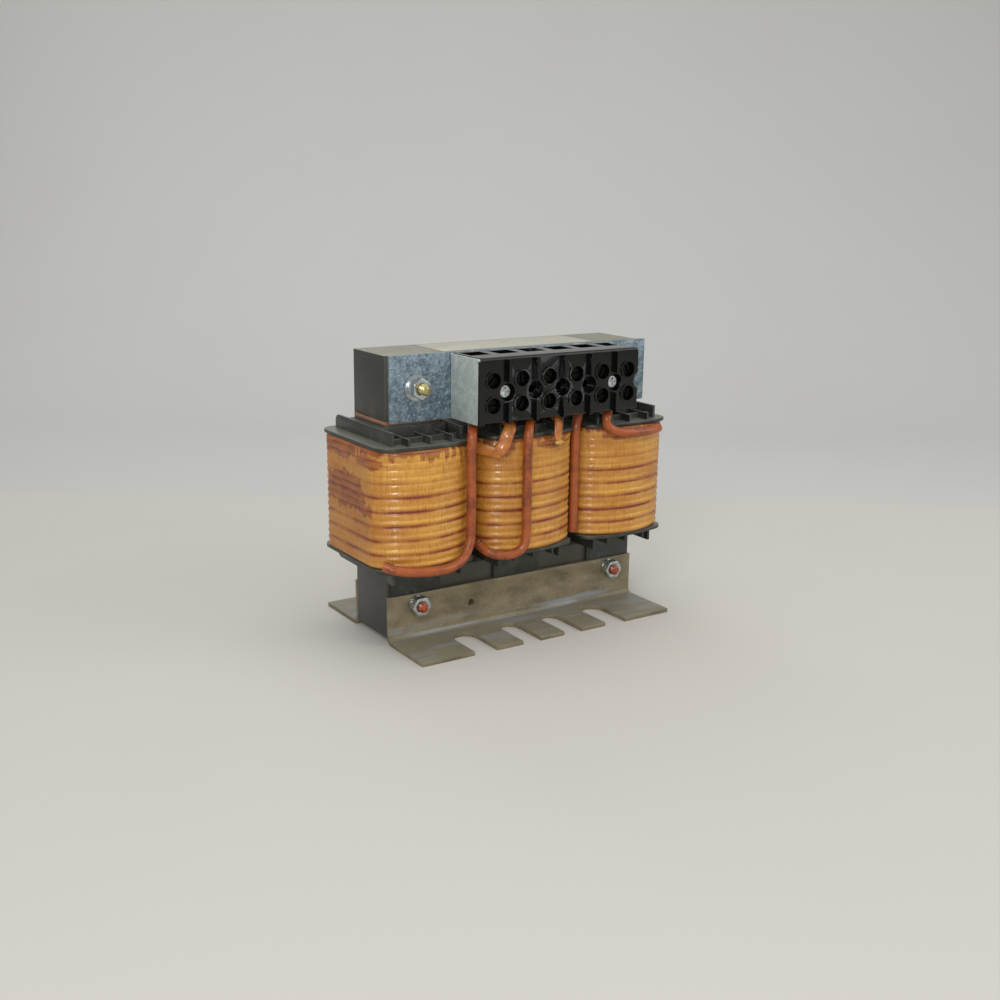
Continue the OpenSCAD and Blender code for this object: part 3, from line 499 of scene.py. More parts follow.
@dataclass(frozen=True)
class Winding(Finish):
    """Glass-served wire soaked in amber varnish.

    The map Turns holds the place along the helix and round the outline, and
    the attribute stain holds how much dark varnish lies on a spot. front is the
    length from the middle of the back to the middle of the front, and the dark
    lines fade out over the lengths in seam. Away from the front's middle the
    flanks are mixed towards the side colour as painted shade.
    """

    # light is a painted highlight tone, the lit amber of the front.
    light: Triple = (210, 156, 66)
    amber: Triple = (178, 116, 40)
    # side is the painted shade of the flanks and also the real halo round the dark lines.
    side: Triple = (156, 88, 32)
    line: Triple = (118, 46, 16)
    thread: float = 1.1
    seam: tuple[float, float] = (3.0, 30.0)
    # Lengths from the front's middle over which the painted flank shade comes in.
    shaded_flank: tuple[float, float] = (18.0, 52.0)
    front: float = field(kw_only=True)

    def paint(self, graph: Graph) -> bpy.types.Material:
        """Builds crests, dark grooves, fine served threads and stains, with painted shade in the
        grooves and on the flanks and a painted highlight tone.
        """
        turns = graph.node("ShaderNodeUVMap", {"uv_map": "Turns"})
        turn = graph.split(turns, "X")
        arc = graph.split(turns, "Y")
        stain = graph.node(
            "ShaderNodeAttribute", {"attribute_name": "stain"}, output="Fac"
        )
        valley = turn.math("PINGPONG", 0.5).step(0.26, 0.5)
        pair = (turn * 0.5 + 0.25).math("PINGPONG", 0.5)
        height = graph.split(graph.place, "Z") * (1 / MM)
        cloud = graph.noise(16, 4, (0.5, 0.5, 1.4))
        blot = graph.noise(4.5, 4, (0.5, 0.5, 1.8), shift=(2, 5, 1))
        ragged = graph.noise(7, 3, (0.35, 0.35, 1), shift=(9, 3, 2))
        frayed = graph.noise(1.5, 3, (1, 1, 0.35), shift=(6, 1, 3))
        fringe = graph.noise(1.6, 3, (1, 1, 0.12), shift=(5, 2, 7))
        low = height.step(108, 92)
        wander = pair + (ragged - 0.5) * 0.14 + (frayed - 0.5) * 0.1
        faint = graph.noise(26, 2, (1, 1, 1.5), shift=(4, 7, 2)).step(0.36, 0.56)
        turned = (arc - self.front * MM).math("ABSOLUTE")
        bare, full = ((self.front - length) * MM for length in self.seam)
        whole = turned.step(bare, full)
        line = wander.step(0.12, 0.03) * (faint * 0.75 + 0.25) * (low * 0.95 + 0.05) * whole
        halo = wander.step(0.34, 0.04) * (faint * 0.5 + 0.5) * (low * 0.9 + 0.1) * whole
        edge = (stain + (frayed - 0.5) * 0.7 + (fringe - 0.5) * 0.8).step(0.3, 0.72)
        threads = (arc * (1 / (self.thread * MM))).wave()
        hairs = graph.noise(0.8, 4, (1, 1, 0.07), 0.7, (3, 3, 8))
        flank_shade = turned.step(self.shaded_flank[0] * MM, self.shaded_flank[1] * MM)
        thread_break = graph.noise(1.2, 2, (1, 1, 0.25))
        speck = graph.noise(1.3, 1, shift=(1, 8, 6)).step(0.79, 0.83)
        # Painted highlight tone: light mixed in at random by cloud.
        base = graph.mix(self.light, self.amber, cloud.step(0.3, 0.75))
        # Painted shade: the flanks away from the front turn towards the side colour.
        base = graph.mix(base, self.side, flank_shade * 0.45)
        # Painted shade: the grooves between the turns a little darker.
        base = graph.mix(base, self.amber, valley * 0.5)
        base = graph.mix(base, self.side, halo * 0.75)
        base = graph.mix(base, (112, 66, 28), hairs.step(0.46, 0.74) * 0.55)
        base = graph.mix(base, (226, 190, 112), hairs.step(0.44, 0.28) * 0.35)
        base = graph.mix(base, (148, 92, 42), blot.step(0.55, 0.82) * 0.4)
        base = graph.mix(
            base, (140, 88, 38), threads.step(0.55, 1.0) * thread_break * 0.3
        )
        base = graph.mix(base, self.line, line)
        dark = graph.mix((146, 66, 28), (96, 36, 18), blot.step(0.35, 0.65))
        base = graph.mix(base, dark, edge * (hairs * 0.4 + 0.45 + valley * 0.3))
        base = graph.mix(base, (60, 30, 16), speck * 0.8)
        bump = threads * 0.12 + hairs * 0.5 + blot * 0.7 + frayed * 0.3 - line * 0.6
        return graph.shade(
            base, 0.42 + blot * 0.14, graph.bump(bump, 0.26), coat=(0.42, 0.17), gloss=0.3
        )


@dataclass(frozen=True)
class LeadSleeve(Finish):
    """Braided sleeving or tape under red-brown varnish.

    The map Sweep holds the length along the lead and the way round it, both in
    metres.
    """

    base: Triple = (156, 78, 32)
    dark: Triple = (112, 50, 24)
    pitch: float = 1.3
    coat: float = 0.4

    def paint(self, graph: Graph) -> bpy.types.Material:
        """Builds a faint braid below a glossy, blotchy varnish, with painted highlight specks."""
        sweep = graph.node("ShaderNodeUVMap", {"uv_map": "Sweep"})
        along = graph.split(sweep, "X") * (1 / (self.pitch * MM))
        around = graph.split(sweep, "Y") * (1 / (self.pitch * MM))
        braid = (along + around).wave() * (along - around).wave()
        cloud = graph.noise(9, 4)
        fine = graph.noise(1.8, 3)
        base = graph.mix(self.base, self.dark, cloud.step(0.38, 0.72))
        # Painted highlight specks: lighter orange flecks standing for glints on the glossy varnish.
        base = graph.mix(base, (190, 112, 48), fine.step(0.5, 0.8) * 0.35)
        base = graph.mix(base, self.dark, braid.step(0.45, 1.0) * 0.3)
        return graph.shade(
            base,
            0.36 + cloud * 0.15,
            graph.bump(braid * 0.4 + fine * 0.8, 0.16),
            coat=(self.coat, 0.1),
            gloss=0.3,
        )


@dataclass(frozen=True)
class BareWire(Finish):
    """Bare copper or brass."""

    base: Triple = (196, 128, 84)
    rough: float = 0.3

    def paint(self, graph: Graph) -> bpy.types.Material:
        """Builds drawn metal with light tarnish."""
        cloud = graph.noise(2.5, 3)
        base = graph.mix(self.base, (120, 76, 50), cloud.step(0.4, 0.8) * 0.6)
        return graph.shade(base, self.rough + cloud * 0.2, metallic=1.0)


@dataclass(frozen=True)
class Paint(Finish):
    """A thick daub of paint or set varnish."""

    base: Triple = (132, 60, 34)
    shade_tone: Triple = (84, 34, 22)

    def paint(self, graph: Graph) -> bpy.types.Material:
        """Builds a lumpy gloss with darker hollows."""
        lumps = graph.noise(1.6, 3)
        base = graph.mix(self.base, self.shade_tone, lumps.step(0.4, 0.7))
        return graph.shade(base, 0.32 + lumps * 0.1, graph.bump(lumps, 0.2), coat=(0.5, 0.12))


@dataclass(frozen=True)
class LabelFilm(Finish):
    """Blank cream label film, a little scuffed."""

    base: Triple = (166, 163, 151)

    def paint(self, graph: Graph) -> bpy.types.Material:
        """Builds film with faint clouds and scuffs."""
        cloud = graph.noise(18, 4)
        scuff = graph.noise(2, 3, (0.3, 2, 1)).step(0.62, 0.8)
        base = graph.mix(self.base, (150, 146, 130), cloud.step(0.4, 0.8) * 0.6)
        base = graph.mix(base, (132, 128, 112), scuff * 0.4)
        return graph.shade(base, 0.45 + cloud * 0.1, graph.bump(cloud, 0.05))


@dataclass(frozen=True)
class StudioPaper(Finish):
    """Plain pale paper of the floor and backdrop, with one soft fold."""

    floor: Triple = (192, 190, 184)
    wall: Triple = (189, 189, 187)
    fold: float = 0.29

    def paint(self, graph: Graph) -> bpy.types.Material:
        """Builds two near tones that meet at the fold."""
        depth = graph.split(graph.place, "Y")
        share = depth.step(self.fold - 0.01, self.fold + 0.01)
        cloud = graph.noise(240, 3)
        base = graph.mix(self.floor, self.wall, share)
        base = graph.mix(base, (184, 182, 178), cloud.step(0.4, 0.8) * 0.25)
        return graph.shade(base, 0.8, gloss=0.15)


CORE_STEEL = LaminatedSteel("core_steel")
YOKE_STEEL = LaminatedSteel(
    "yoke_steel", (58, 56, 50), (38, 38, 36), (122, 122, 104), slot="core_steel"
)
ANGLE_STEEL = SheetSteel("angle_steel")
PLATE_ZINC = GalvanisedSheet("plate_zinc")
BRACKET_ZINC = GalvanisedSheet(
    "bracket_zinc", (172, 182, 177), (148, 158, 154), 0.1, (194, 200, 196), 0.3,
    slot="plate_zinc",
)
ZINC = PlatedSteel("zinc")
YELLOW_ZINC = PlatedSteel("yellow_zinc", (190, 182, 132), (150, 132, 80), 0.24)
CLAMP_STEEL = PlatedSteel("clamp_steel", (176, 178, 174), (120, 116, 100), 0.28)
# Clamp screws painted nearly black: painted shade of the deep bores they sit in.
SHADED_SCREW_STEEL = PlatedSteel("screw_steel_in_painted_shade", (30, 29, 27), (20, 19, 17), 0.4, slot="clamp_steel")
MARKING_PAINT = Paint("marking_paint", (158, 66, 30), (104, 38, 20), slot="zinc")
SET_VARNISH = Paint("set_varnish", (104, 42, 22), (62, 22, 14), slot="lead")
YELLOW_DAUB = Paint("yellow_daub", (206, 168, 66), (166, 118, 44), slot="lead")
BLOCK_PLASTIC = MouldedPlastic("black_block", (8, 8, 8), (26, 26, 25), 0.15, 0.14, 0.2, gloss=0.3)
# The bobbins get a painted sheen in the haze colour on their upward faces.
BOBBIN_PLASTIC = MouldedPlastic(
    "black_bobbin", (34, 35, 31), (98, 101, 90), 0.45, 0.38, 0.25, top_sheen_share=0.75
)
SPACER_BOARD = VarnishedBoard("spacer")
SLEEVE = LeadSleeve("lead")
TAPE = LeadSleeve("lead_tape", (190, 122, 56), (146, 76, 32), 0.9, 0.45, slot="lead")
NYLON = MouldedPlastic("sleeve_nylon", (214, 206, 178), (180, 170, 140), 0.4, 0.4, 0.1)
COPPER = BareWire("copper", slot="lead")
BRASS = BareWire("bar_brass", (188, 154, 92), 0.26)
LABEL = LabelFilm("label")
PAPER = StudioPaper("studio_paper")


class Blank:
    """A bmesh in millimetres on its way to becoming a piece."""

    def __init__(self) -> None:
        """Starts empty."""
        self.mesh = bmesh.new()

    @classmethod
    def of_node(cls, node: str) -> "Blank":
        """Copies a CAD node, with its loose triangles joined into flat faces.

        Args:
            node: The node's name.

        Returns:
            The merged copy.
        """
        blank = cls()
        mesh = blank.mesh
        mesh.from_mesh(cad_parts[node].data)
        bmesh.ops.scale(mesh, vec=(1 / MM,) * 3, verts=mesh.verts)
        bmesh.ops.remove_doubles(mesh, verts=mesh.verts, dist=SAME_SPOT)
        bmesh.ops.dissolve_limit(
            mesh, angle_limit=math.radians(FLAT_ANGLE), verts=mesh.verts, edges=mesh.edges
        )
        return blank

    def soften(self, width: float, segments: int = 2, limit: float = 32) -> "Blank":
        """Rounds the sharp edges.

        Args:
            width: Width of the rounding.
            segments: Its number of faces.
            limit: Least angle between two faces, in degrees, of an edge.

        Returns:
            The blank itself.
        """
        sharp = [
            edge
            for edge in self.mesh.edges
            if edge.is_manifold and edge.calc_face_angle(0) > math.radians(limit)
        ]
        bmesh.ops.bevel(
            self.mesh,
            geom=sharp,
            offset=width,
            segments=segments,
            profile=0.5,
            affect="EDGES",
            clamp_overlap=True,
            material=-1,
        )
        return self

    def sweep(
        self,
        path: Sequence[Vector],
        size: Callable[[float], tuple[float, float]],
        sides: int,
        side: Vector,
    ) -> "Blank":
        """Draws a closed tube along a path, with its lengths in the map Sweep.

        Args:
            path: Points of the centreline.
            size: Half width and half height by the share of the length.
            sides: Sides of the tube.
            side: Where the half width points at the start.

        Returns:
            The blank itself.
        """
        mesh = self.mesh
        layer = mesh.loops.layers.uv.get("Sweep") or mesh.loops.layers.uv.new("Sweep")
        steps = [(b - a).length for a, b in zip(path, path[1:])]
        total = sum(steps)
        made = bmesh.ops.create_circle(mesh, segments=sides, radius=1.0)["verts"]
        place_of = {vert: number for number, vert in enumerate(made)}
        edges = list(dict.fromkeys(edge for vert in made for edge in vert.link_edges))
        last, travelled = None, 0.0
        lead = side
        first_edges = edges
        for number, point in enumerate(path):
            along = path[min(number + 1, len(path) - 1)] - path[max(number - 1, 0)]
            along.normalize()
            lead = (lead - along * lead.dot(along)).normalized()
            wide, high = size(travelled / total)
            turn = Matrix((lead * wide, along.cross(lead) * high, along)).transposed()
            matrix = Matrix.Translation(point) @ turn.to_4x4()
            if last is None:
                bmesh.ops.transform(mesh, matrix=matrix, verts=made)
            else:
                grown = bmesh.ops.extrude_edge_only(mesh, edges=edges)["geom"]
                new = [item for item in grown if isinstance(item, bmesh.types.BMVert)]
                fresh = set(new)
                edges = [
                    item
                    for item in grown
                    if isinstance(item, bmesh.types.BMEdge)
                    and item.verts[0] in fresh
                    and item.verts[1] in fresh
                ]
                for vert in new:
                    other = next(
                        e.other_vert(vert) for e in vert.link_edges if e.other_vert(vert) in place_of
                    )
                    place_of[vert] = place_of[other]
                bmesh.ops.transform(mesh, matrix=matrix @ last.inverted(), verts=new)
                faces = [f for f in grown if isinstance(f, bmesh.types.BMFace)]
                girth = math.pi * (wide + high)
                for face in faces:
                    places = [place_of[loop.vert] for loop in face.loops]
                    wraps = 0 in places and sides - 1 in places
                    for loop, place in zip(face.loops, places):
                        share = (sides if wraps and place == 0 else place) / sides
                        reach = travelled if loop.vert in fresh else travelled - steps[number - 1]
                        loop[layer].uv = (reach * MM, share * girth * MM)
            last = matrix
            travelled += steps[number] if number < len(steps) else 0.0
        bmesh.ops.contextual_create(mesh, geom=first_edges)
        bmesh.ops.contextual_create(mesh, geom=edges)
        return self

    def piece(
        self,
        name: str,
        finish: Finish,
        body: str = ROOT,
        replaces: Sequence[str] = (),
        sharp: float = 32,
        turn_out: bool = True,
    ) -> bpy.types.Object:
        """Turns the blank into a piece that rides on a body.

        Args:
            name: The piece's name.
            finish: Its finish.
            body: The CAD body that it moves with.
            replaces: CAD nodes that it stands for.
            sharp: Least angle in degrees that shows as an edge.
            turn_out: Whether the normals are recalculated.

        Returns:
            The new object.
        """
        mesh = self.mesh
        if turn_out:
            bmesh.ops.recalc_face_normals(mesh, faces=mesh.faces)
        for face in mesh.faces:
            face.smooth = True
        for edge in mesh.edges:
            edge.smooth = edge.calc_face_angle(0) < math.radians(sharp)
        bmesh.ops.scale(mesh, vec=(MM,) * 3, verts=mesh.verts)
        data = bpy.data.meshes.new(name)
        mesh.to_mesh(data)
        mesh.free()
        made = bpy.data.objects.new(name, data)
        data.materials.append(finish.material())
        bpy.context.scene.collection.objects.link(made)
        if replaces:
            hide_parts(*replaces)
        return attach(made, body)


def dress(node: str, finish: Finish) -> None:
    """Gives a CAD node that stays as it is its finish.

    Args:
        node: The node's name.
        finish: Its finish.
    """
    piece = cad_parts[node]
    piece.data.materials.clear()
    piece.data.materials.append(finish.material())


@dataclass
class DressedNodes:
    """CAD nodes whose solids show as they are, each with its finish."""

    finishes: dict[str, Finish] = field(
        default_factory=lambda: {
            "gap_spacers": SPACER_BOARD,
            "lower_flat_washers": ZINC,
            "lower_lock_washers": ZINC,
            "upper_flat_washers": ZINC,
            "upper_lock_washers": ZINC,
            "bolt_sleeves": NYLON,
            "terminal_bars": BRASS,
        }
    )

    def build(self) -> list[str]:
        """Dresses the nodes and names them."""
        for node, finish in self.finishes.items():
            dress(node, finish)
        return list(self.finishes)


@dataclass
class SoftenedNodes:
    """Rigid parts whose copies get rounded edges: node, finish and rounding."""

    parts: tuple[tuple[str, Finish, float], ...] = (
        ("e_core", CORE_STEEL, 0.3),
        ("top_yoke", YOKE_STEEL, 0.3),
        ("front_mounting_angle", ANGLE_STEEL, 0.25),
        ("rear_mounting_angle", ANGLE_STEEL, 0.25),
        ("front_clamp_plate", PLATE_ZINC, 0.2),
        ("terminal_bracket", BRACKET_ZINC, 0.2),
        ("terminal_block", BLOCK_PLASTIC, 0.3),
        ("block_screws", ZINC, 0.2),
        ("lower_nuts", ZINC, 0.12),
        ("upper_nuts", ZINC, 0.12),
        ("bobbin_left", BOBBIN_PLASTIC, 0.25),
        ("bobbin_middle", BOBBIN_PLASTIC, 0.25),
        ("bobbin_right", BOBBIN_PLASTIC, 0.25),
        ("rating_label", LABEL, 0.1),
    )

    def build(self) -> list[str]:
        """Makes one softened piece for each node and names them."""
        for node, finish, width in self.parts:
            blank = Blank.of_node(node).soften(width)
            blank.piece(f"{node}_finished", finish, replaces=(node,), turn_out=False)
        return [node for node, _, _ in self.parts]


class Row(Enum):
    """The two rows of clamps, with the word used in their names."""

    TOP = "top"
    BOTTOM = "bottom"


@dataclass
class CageClamps:
    """The clamps of the terminal block, each a screw and a cage."""

    poles: int = 6
    edge: float = 0.18

    def build(self) -> list[str]:
        """Makes the softened screws and cages and names them."""
        made = []
        for row in Row:
            for pole in range(1, self.poles + 1):
                for kind, finish in (("screw", SHADED_SCREW_STEEL), ("cage", CLAMP_STEEL)):
                    node = f"clamp_{kind}_{row.value}_{pole}"
                    blank = Blank.of_node(node).soften(self.edge)
                    piece = blank.piece(
                        f"{node}_finished", finish, node, (node,), turn_out=False
                    )
                    made.append(piece.name)
        return made


@dataclass(frozen=True)
class Outline:
    """A rounded rectangle with a bowed front and back, measured from its middle."""

    half_w: float = 33.9
    half_d: float = 45.0
    corner: float = 15.0
    bow: float = 50.0

    @property
    def spread(self) -> float:
        """Half the angle of the front bow, in radians."""
        return math.asin((self.half_w - self.corner) / (self.bow - self.corner))

    @property
    def lengths(self) -> list[float]:
        """Lengths from the middle of the back, going left, front and right."""
        bow = self.spread * self.bow
        corner = (math.pi / 2 - self.spread) * self.corner
        reach = (self.bow - self.corner) * math.cos(self.spread) - (self.bow - self.half_d)
        return [bow, corner, 2 * reach, corner, 2 * bow, corner, 2 * reach, corner, bow]

    @property
    def girth(self) -> float:
        """The whole length."""
        return sum(self.lengths)

    def at(self, arc: float) -> tuple[Vector, Vector]:
        """Finds a point of the outline.

        Args:
            arc: Length from the middle of the back, going left first.

        Returns:
            The point and its outward normal, in the plane of the outline.
        """
        lengths = self.lengths
        part = 0
        while part < 8 and arc > lengths[part]:
            arc -= lengths[part]
            part += 1
        spread, quarter = self.spread, math.pi / 2
        starts = [
            math.pi, math.pi + spread, -quarter, -quarter, -spread,
            spread, quarter, quarter, math.pi - spread,
        ]
        flat = part in (2, 6)
        radius = self.bow if part in (0, 4, 8) else self.corner
        angle = starts[part] + (0 if flat else arc / radius)
        normal = Vector((math.sin(angle), -math.cos(angle)))
        sag = self.bow - self.half_d
        centre_x = self.half_w - self.corner
        centre_y = lengths[2] / 2
        if radius == self.bow:
            centre = Vector((0, sag if part == 4 else -sag))
        else:
            centre = Vector(
                (centre_x if part > 4 else -centre_x, centre_y if part in (1, 7) else -centre_y)
            )
        if flat:
            side = -1 if part == 2 else 1
            return Vector((side * self.half_w, side * (arc - centre_y))), normal
        return centre + normal * radius, normal


COIL_VARNISH = Winding("coil_wire", front=Outline().girth / 2)


@dataclass(frozen=True)
class Stain:
    """A patch of dark varnish: its middle, half sizes and strength.

    arc is the length round the winding from the middle of its front, with the
    left side below zero.
    """

    arc: float
    z: float
    wide: float
    high: float
    strength: float = 1.0


@dataclass
class VarnishedCoil:
    """One winding: helical ridges of served wire with varnish in the grooves."""

    name: str
    x: float
    seed: float
    stains: tuple[Stain, ...] = ()
    band: float = 3.0
    outline: Outline = Outline()
    wire_d: float = 4.3
    bottom: float = 52.1
    top: float = 121.9
    turns: float = 15.5
    groove: float = 0.5
    around: int = 150
    per_turn: int = 10
    hole: tuple[float, float] = (21.2, 21.4)
    fade: tuple[float, float] = (112.0, 84.0)
    blend: float = 0.4
    swell: float = 0.25
    lay_angle: float = 30.0

    @property
    def wire_half(self) -> float:
        """Height of the first wire's middle above the flange."""
        return self.wire_d / 2 * math.cos(math.radians(self.lay_angle))

    @property
    def pitch(self) -> float:
        """Height of one turn."""
        return (self.top - self.bottom - 2 * self.wire_half) / self.turns

    def turn_at(self, arc: float, z: float) -> float:
        """Counts turns up to a spot; crests lie at whole numbers.

        Args:
            arc: Length from the middle of the back, going left first.
            z: Height.

        Returns:
            The number of turns.
        """
        start = sum(self.outline.lengths[:3])
        level = (z - self.bottom - self.wire_half) / self.pitch
        return level - (arc - start) / self.outline.girth

    def relief(self, turn: float, arc: float, z: float) -> float:
        """Works out how far a spot lies below the crest line.

        Args:
            turn: The number of turns at the spot.
            arc: Length round the winding; not used.
            z: Height.

        Returns:
            An offset, zero or negative.
        """
        radius = self.wire_d / 2
        away = abs(turn - round(turn)) * self.pitch
        round_wire = math.sqrt(max(radius**2 - away**2, 0.0)) - radius
        fill = -self.groove * (0.45 + 0.55 * smooth(*self.fade, z))
        overlap = max(self.blend - abs(round_wire - fill), 0.0) / self.blend
        level = max(round_wire, fill) + overlap * overlap * self.blend / 4
        rim = min(z - self.bottom, self.top - z)
        if rim < radius:
            level -= radius - math.sqrt(max(radius**2 - (radius - rim) ** 2, 0.0))
        return level

    def darkness(self, arc: float, z: float, spot: Vector) -> float:
        """Sums the stains at a spot.

        Args:
            arc: Length from the middle of the front, left below zero.
            z: Height.
            spot: The place, for the ragged edges.

        Returns:
            A share, about 0 to 1.5.
        """
        drips = noise.noise(Vector((arc * 0.33, self.seed, z * 0.05)))
        ragged = noise.noise(spot * 0.22) * 0.4 + noise.noise(spot * 0.7) * 0.25
        level = z + (ragged + drips * 1.3) * self.band * 1.1
        total = smooth(self.top - self.band, self.top - self.band * 0.3, level) * 0.9
        for stain in self.stains:
            away = math.hypot((arc - stain.arc) / stain.wide, (z - stain.z) / stain.high)
            total += stain.strength * smooth(1.2, 0.75, away + ragged * 0.7 + drips * 0.35)
        return total

    def build(self) -> list[str]:
        """Wraps a grid round the outline and closes it inwards.

        Returns:
            The name of the piece.
        """
        blank = Blank()
        mesh = blank.mesh
        layer = mesh.loops.layers.uv.new("Turns")
        stain_layer = mesh.verts.layers.float.new("stain")
        rows = round((self.top - self.bottom) / self.pitch * self.per_turn)
        bmesh.ops.create_grid(mesh, x_segments=self.around, y_segments=rows, size=1.0)
        girth = self.outline.girth
        spots = {vert: ((1 + vert.co.x) / 2 * girth, (1 + vert.co.y) / 2) for vert in mesh.verts}
        for face in mesh.faces:
            for loop in face.loops:
                arc, share = spots[loop.vert]
                z = self.bottom + share * (self.top - self.bottom)
                loop[layer].uv = (self.turn_at(arc, z), arc * MM)
        for vert, (arc, share) in spots.items():
            z = self.bottom + share * (self.top - self.bottom)
            point, normal = self.outline.at(arc)
            offset = self.relief(self.turn_at(arc, z), arc, z)
            spot = Vector((self.x + point.x, point.y, z + self.seed))
            waver = noise.noise(Vector((spot.x, spot.y, spot.z * 3)) * 0.03)
            dark = self.darkness(arc - girth / 2, z, spot)
            offset += self.swell * (min(0.0, waver) + min(dark, 1.0) - 1)
            vert[stain_layer] = dark
            place = point + normal * offset
            vert.co = (self.x + place.x, place.y, z)
        bmesh.ops.remove_doubles(mesh, verts=mesh.verts, dist=SAME_SEAM)
        self._close(mesh)
        nodes = (f"winding_core_{self.name}", f"winding_turns_{self.name}")
        made = blank.piece(f"winding_{self.name}", COIL_VARNISH, replaces=nodes, sharp=70)
        return [made.name]

    def _close(self, mesh: bmesh.types.BMesh) -> None:
        """Joins both rims to a square hole round the bobbin's tube."""
        rims = [edge for edge in mesh.edges if edge.is_boundary]
        holes = []
        for z in (self.bottom, self.top):
            ring = bmesh.ops.create_circle(
                mesh,
                segments=4,
                radius=math.sqrt(2),
                matrix=Matrix.Translation((self.x, 0, z))
                @ Matrix.Diagonal((self.hole[0], self.hole[1], 1, 1))
                @ Matrix.Rotation(math.pi / 4, 4, "Z"),
            )["verts"]
            sides = list(dict.fromkeys(edge for vert in ring for edge in vert.link_edges))
            rim = [e for e in rims if abs(e.verts[0].co.z - z) < 0.01]
            bmesh.ops.bridge_loops(mesh, edges=rim + sides)
            holes += sides
        bmesh.ops.bridge_loops(mesh, edges=holes)


def spline(points: Sequence[Vector], steps: int) -> list[Vector]:
    """Draws a smooth curve through points.

    Args:
        points: The points.
        steps: Steps between two neighbours.

    Returns:
        Points of the curve, the last one included.
    """
    made = []
    for i in range(len(points) - 1):
        a = points[max(i - 1, 0)]
        b, c = points[i], points[i + 1]
        d = points[min(i + 2, len(points) - 1)]
        for k in range(steps):
            t = k / steps
            made.append(
                0.5
                * (
                    2 * b
                    + (c - a) * t
                    + (2 * a - 5 * b + 4 * c - d) * t**2
                    + (3 * b - a - 3 * c + d) * t**3
                )
            )
    return made + [points[-1].copy()]


@dataclass
class Lead:
    """One sleeved lead from a winding to its clamp, with its bare end."""

    number: int
    x: float
    route: tuple[Triple, ...]
    finish: Finish = SLEEVE
    squeeze: tuple[tuple[float, float, float], ...] = ((0.0, 1.0, 1.0), (1.0, 1.0, 1.0))
    side: Triple = (0.3, 1, 0.2)
    diameter: float = 5.8
    wire_d: float = 4.1
    wire_y: float = -29.7
    block_z: float = 134.6
    sleeve_end: float = 138.5
    wire_end: float = 149.4

    def size(self, share: float) -> tuple[float, float]:
        """Gives the half width and half height at a share of the length."""
        for (a, wa, ha), (b, wb, hb) in zip(self.squeeze, self.squeeze[1:]):
            if share <= b:
                step = smooth(a, b, share)
                wide, high = wa + (wb - wa) * step, ha + (hb - ha) * step
                return self.diameter / 2 * wide, self.diameter / 2 * high
        return self.diameter / 2, self.diameter / 2

    def build(self) -> list[str]:
        """Makes the sleeve and the bare wire and names them."""
        points = [Vector(point) for point in self.route]
        points += [
            Vector((self.x, self.wire_y, self.block_z)),
            Vector((self.x, self.wire_y, self.sleeve_end)),
        ]
        path = spline(points, 6)
        sleeve = Blank().sweep(path, self.size, 20, Vector(self.side))
        node = f"lead_{self.number}"
        made = sleeve.piece(f"{node}_sleeve", self.finish, replaces=(node,), sharp=50)
        ends = [Vector((self.x, self.wire_y, z)) for z in (self.sleeve_end - 2, self.wire_end)]
        half = self.wire_d / 2
        bare = Blank().sweep(ends, lambda share: (half, half), 20, Vector((1, 0, 0)))
        wire = bare.piece(f"{node}_wire", COPPER, sharp=50)
        return [made.name, wire.name]


@dataclass(frozen=True)
class Daub:
    """A small lump of varnish or paint: its place, radii and finish."""

    name: str
    place: Triple
    radii: Triple
    finish: Finish = SET_VARNISH


@dataclass
class Daubs:
    """Lumps of set varnish and paint on the ends of the leads."""

    spots: tuple[Daub, ...]
    lumpy: float = 0.3

    def build(self) -> list[str]:
        """Makes one lump for each spot and names them."""
        for spot in self.spots:
            blank = Blank()
            bmesh.ops.create_icosphere(blank.mesh, subdivisions=4, radius=1.0)
            for vert in blank.mesh.verts:
                swell = 1 + noise.noise(vert.co * 1.7 + Vector(spot.place)) * self.lumpy
                offset = [c * r * swell for c, r in zip(vert.co, spot.radii)]
                vert.co = Vector(spot.place) + Vector(offset)
            blank.piece(spot.name, spot.finish, sharp=80)
        return [spot.name for spot in self.spots]


@dataclass(frozen=True)
class ThreadedEnd:
    """The threaded end of a clamping bolt, from its nut to its tip."""

    name: str
    x: float
    z: float
    start: float
    tip: float
    finish: Finish
    radius: float = 3.175
    depth: float = 0.62
    pitch: float = 1.27
    bevel: float = 0.8
    around: int = 40
    per_turn: int = 12

    def radius_at(self, angle: float, y: float) -> float:
        """Gives the radius of the thread.

        Args:
            angle: Angle round the bolt, in radians.
            y: Place along the bolt, from the nut towards the tip.

        Returns:
            The radius at that spot.
        """
        wave = abs(2 * ((y / self.pitch + angle / math.tau) % 1) - 1)
        thread = self.radius - self.depth * smooth(0.12, 0.9, wave)
        return min(thread, self.radius - max(y - (self.tip - self.start - self.bevel), 0.0))

    def build(self) -> list[str]:
        """Wraps a grid round the bolt and closes both ends."""
        blank = Blank()
        mesh = blank.mesh
        length = self.tip - self.start
        rows = round(length / self.pitch * self.per_turn)
        bmesh.ops.create_grid(mesh, x_segments=self.around, y_segments=rows, size=1.0)
        for vert in mesh.verts:
            angle = (1 + vert.co.x) * math.pi
            y = (1 + vert.co.y) / 2 * length
            radius = self.radius_at(angle, y)
            vert.co = (
                self.x + radius * math.cos(angle),
                -self.start - y,
                self.z + radius * math.sin(angle),
            )
        bmesh.ops.remove_doubles(mesh, verts=mesh.verts, dist=SAME_SEAM)
        rims = [edge for edge in mesh.edges if edge.is_boundary]
        for y in (self.start, self.tip):
            rim = [edge for edge in rims if abs(edge.verts[0].co.y + y) < 0.001]
            bmesh.ops.contextual_create(mesh, geom=rim)
        return [blank.piece(self.name, self.finish, sharp=60).name]


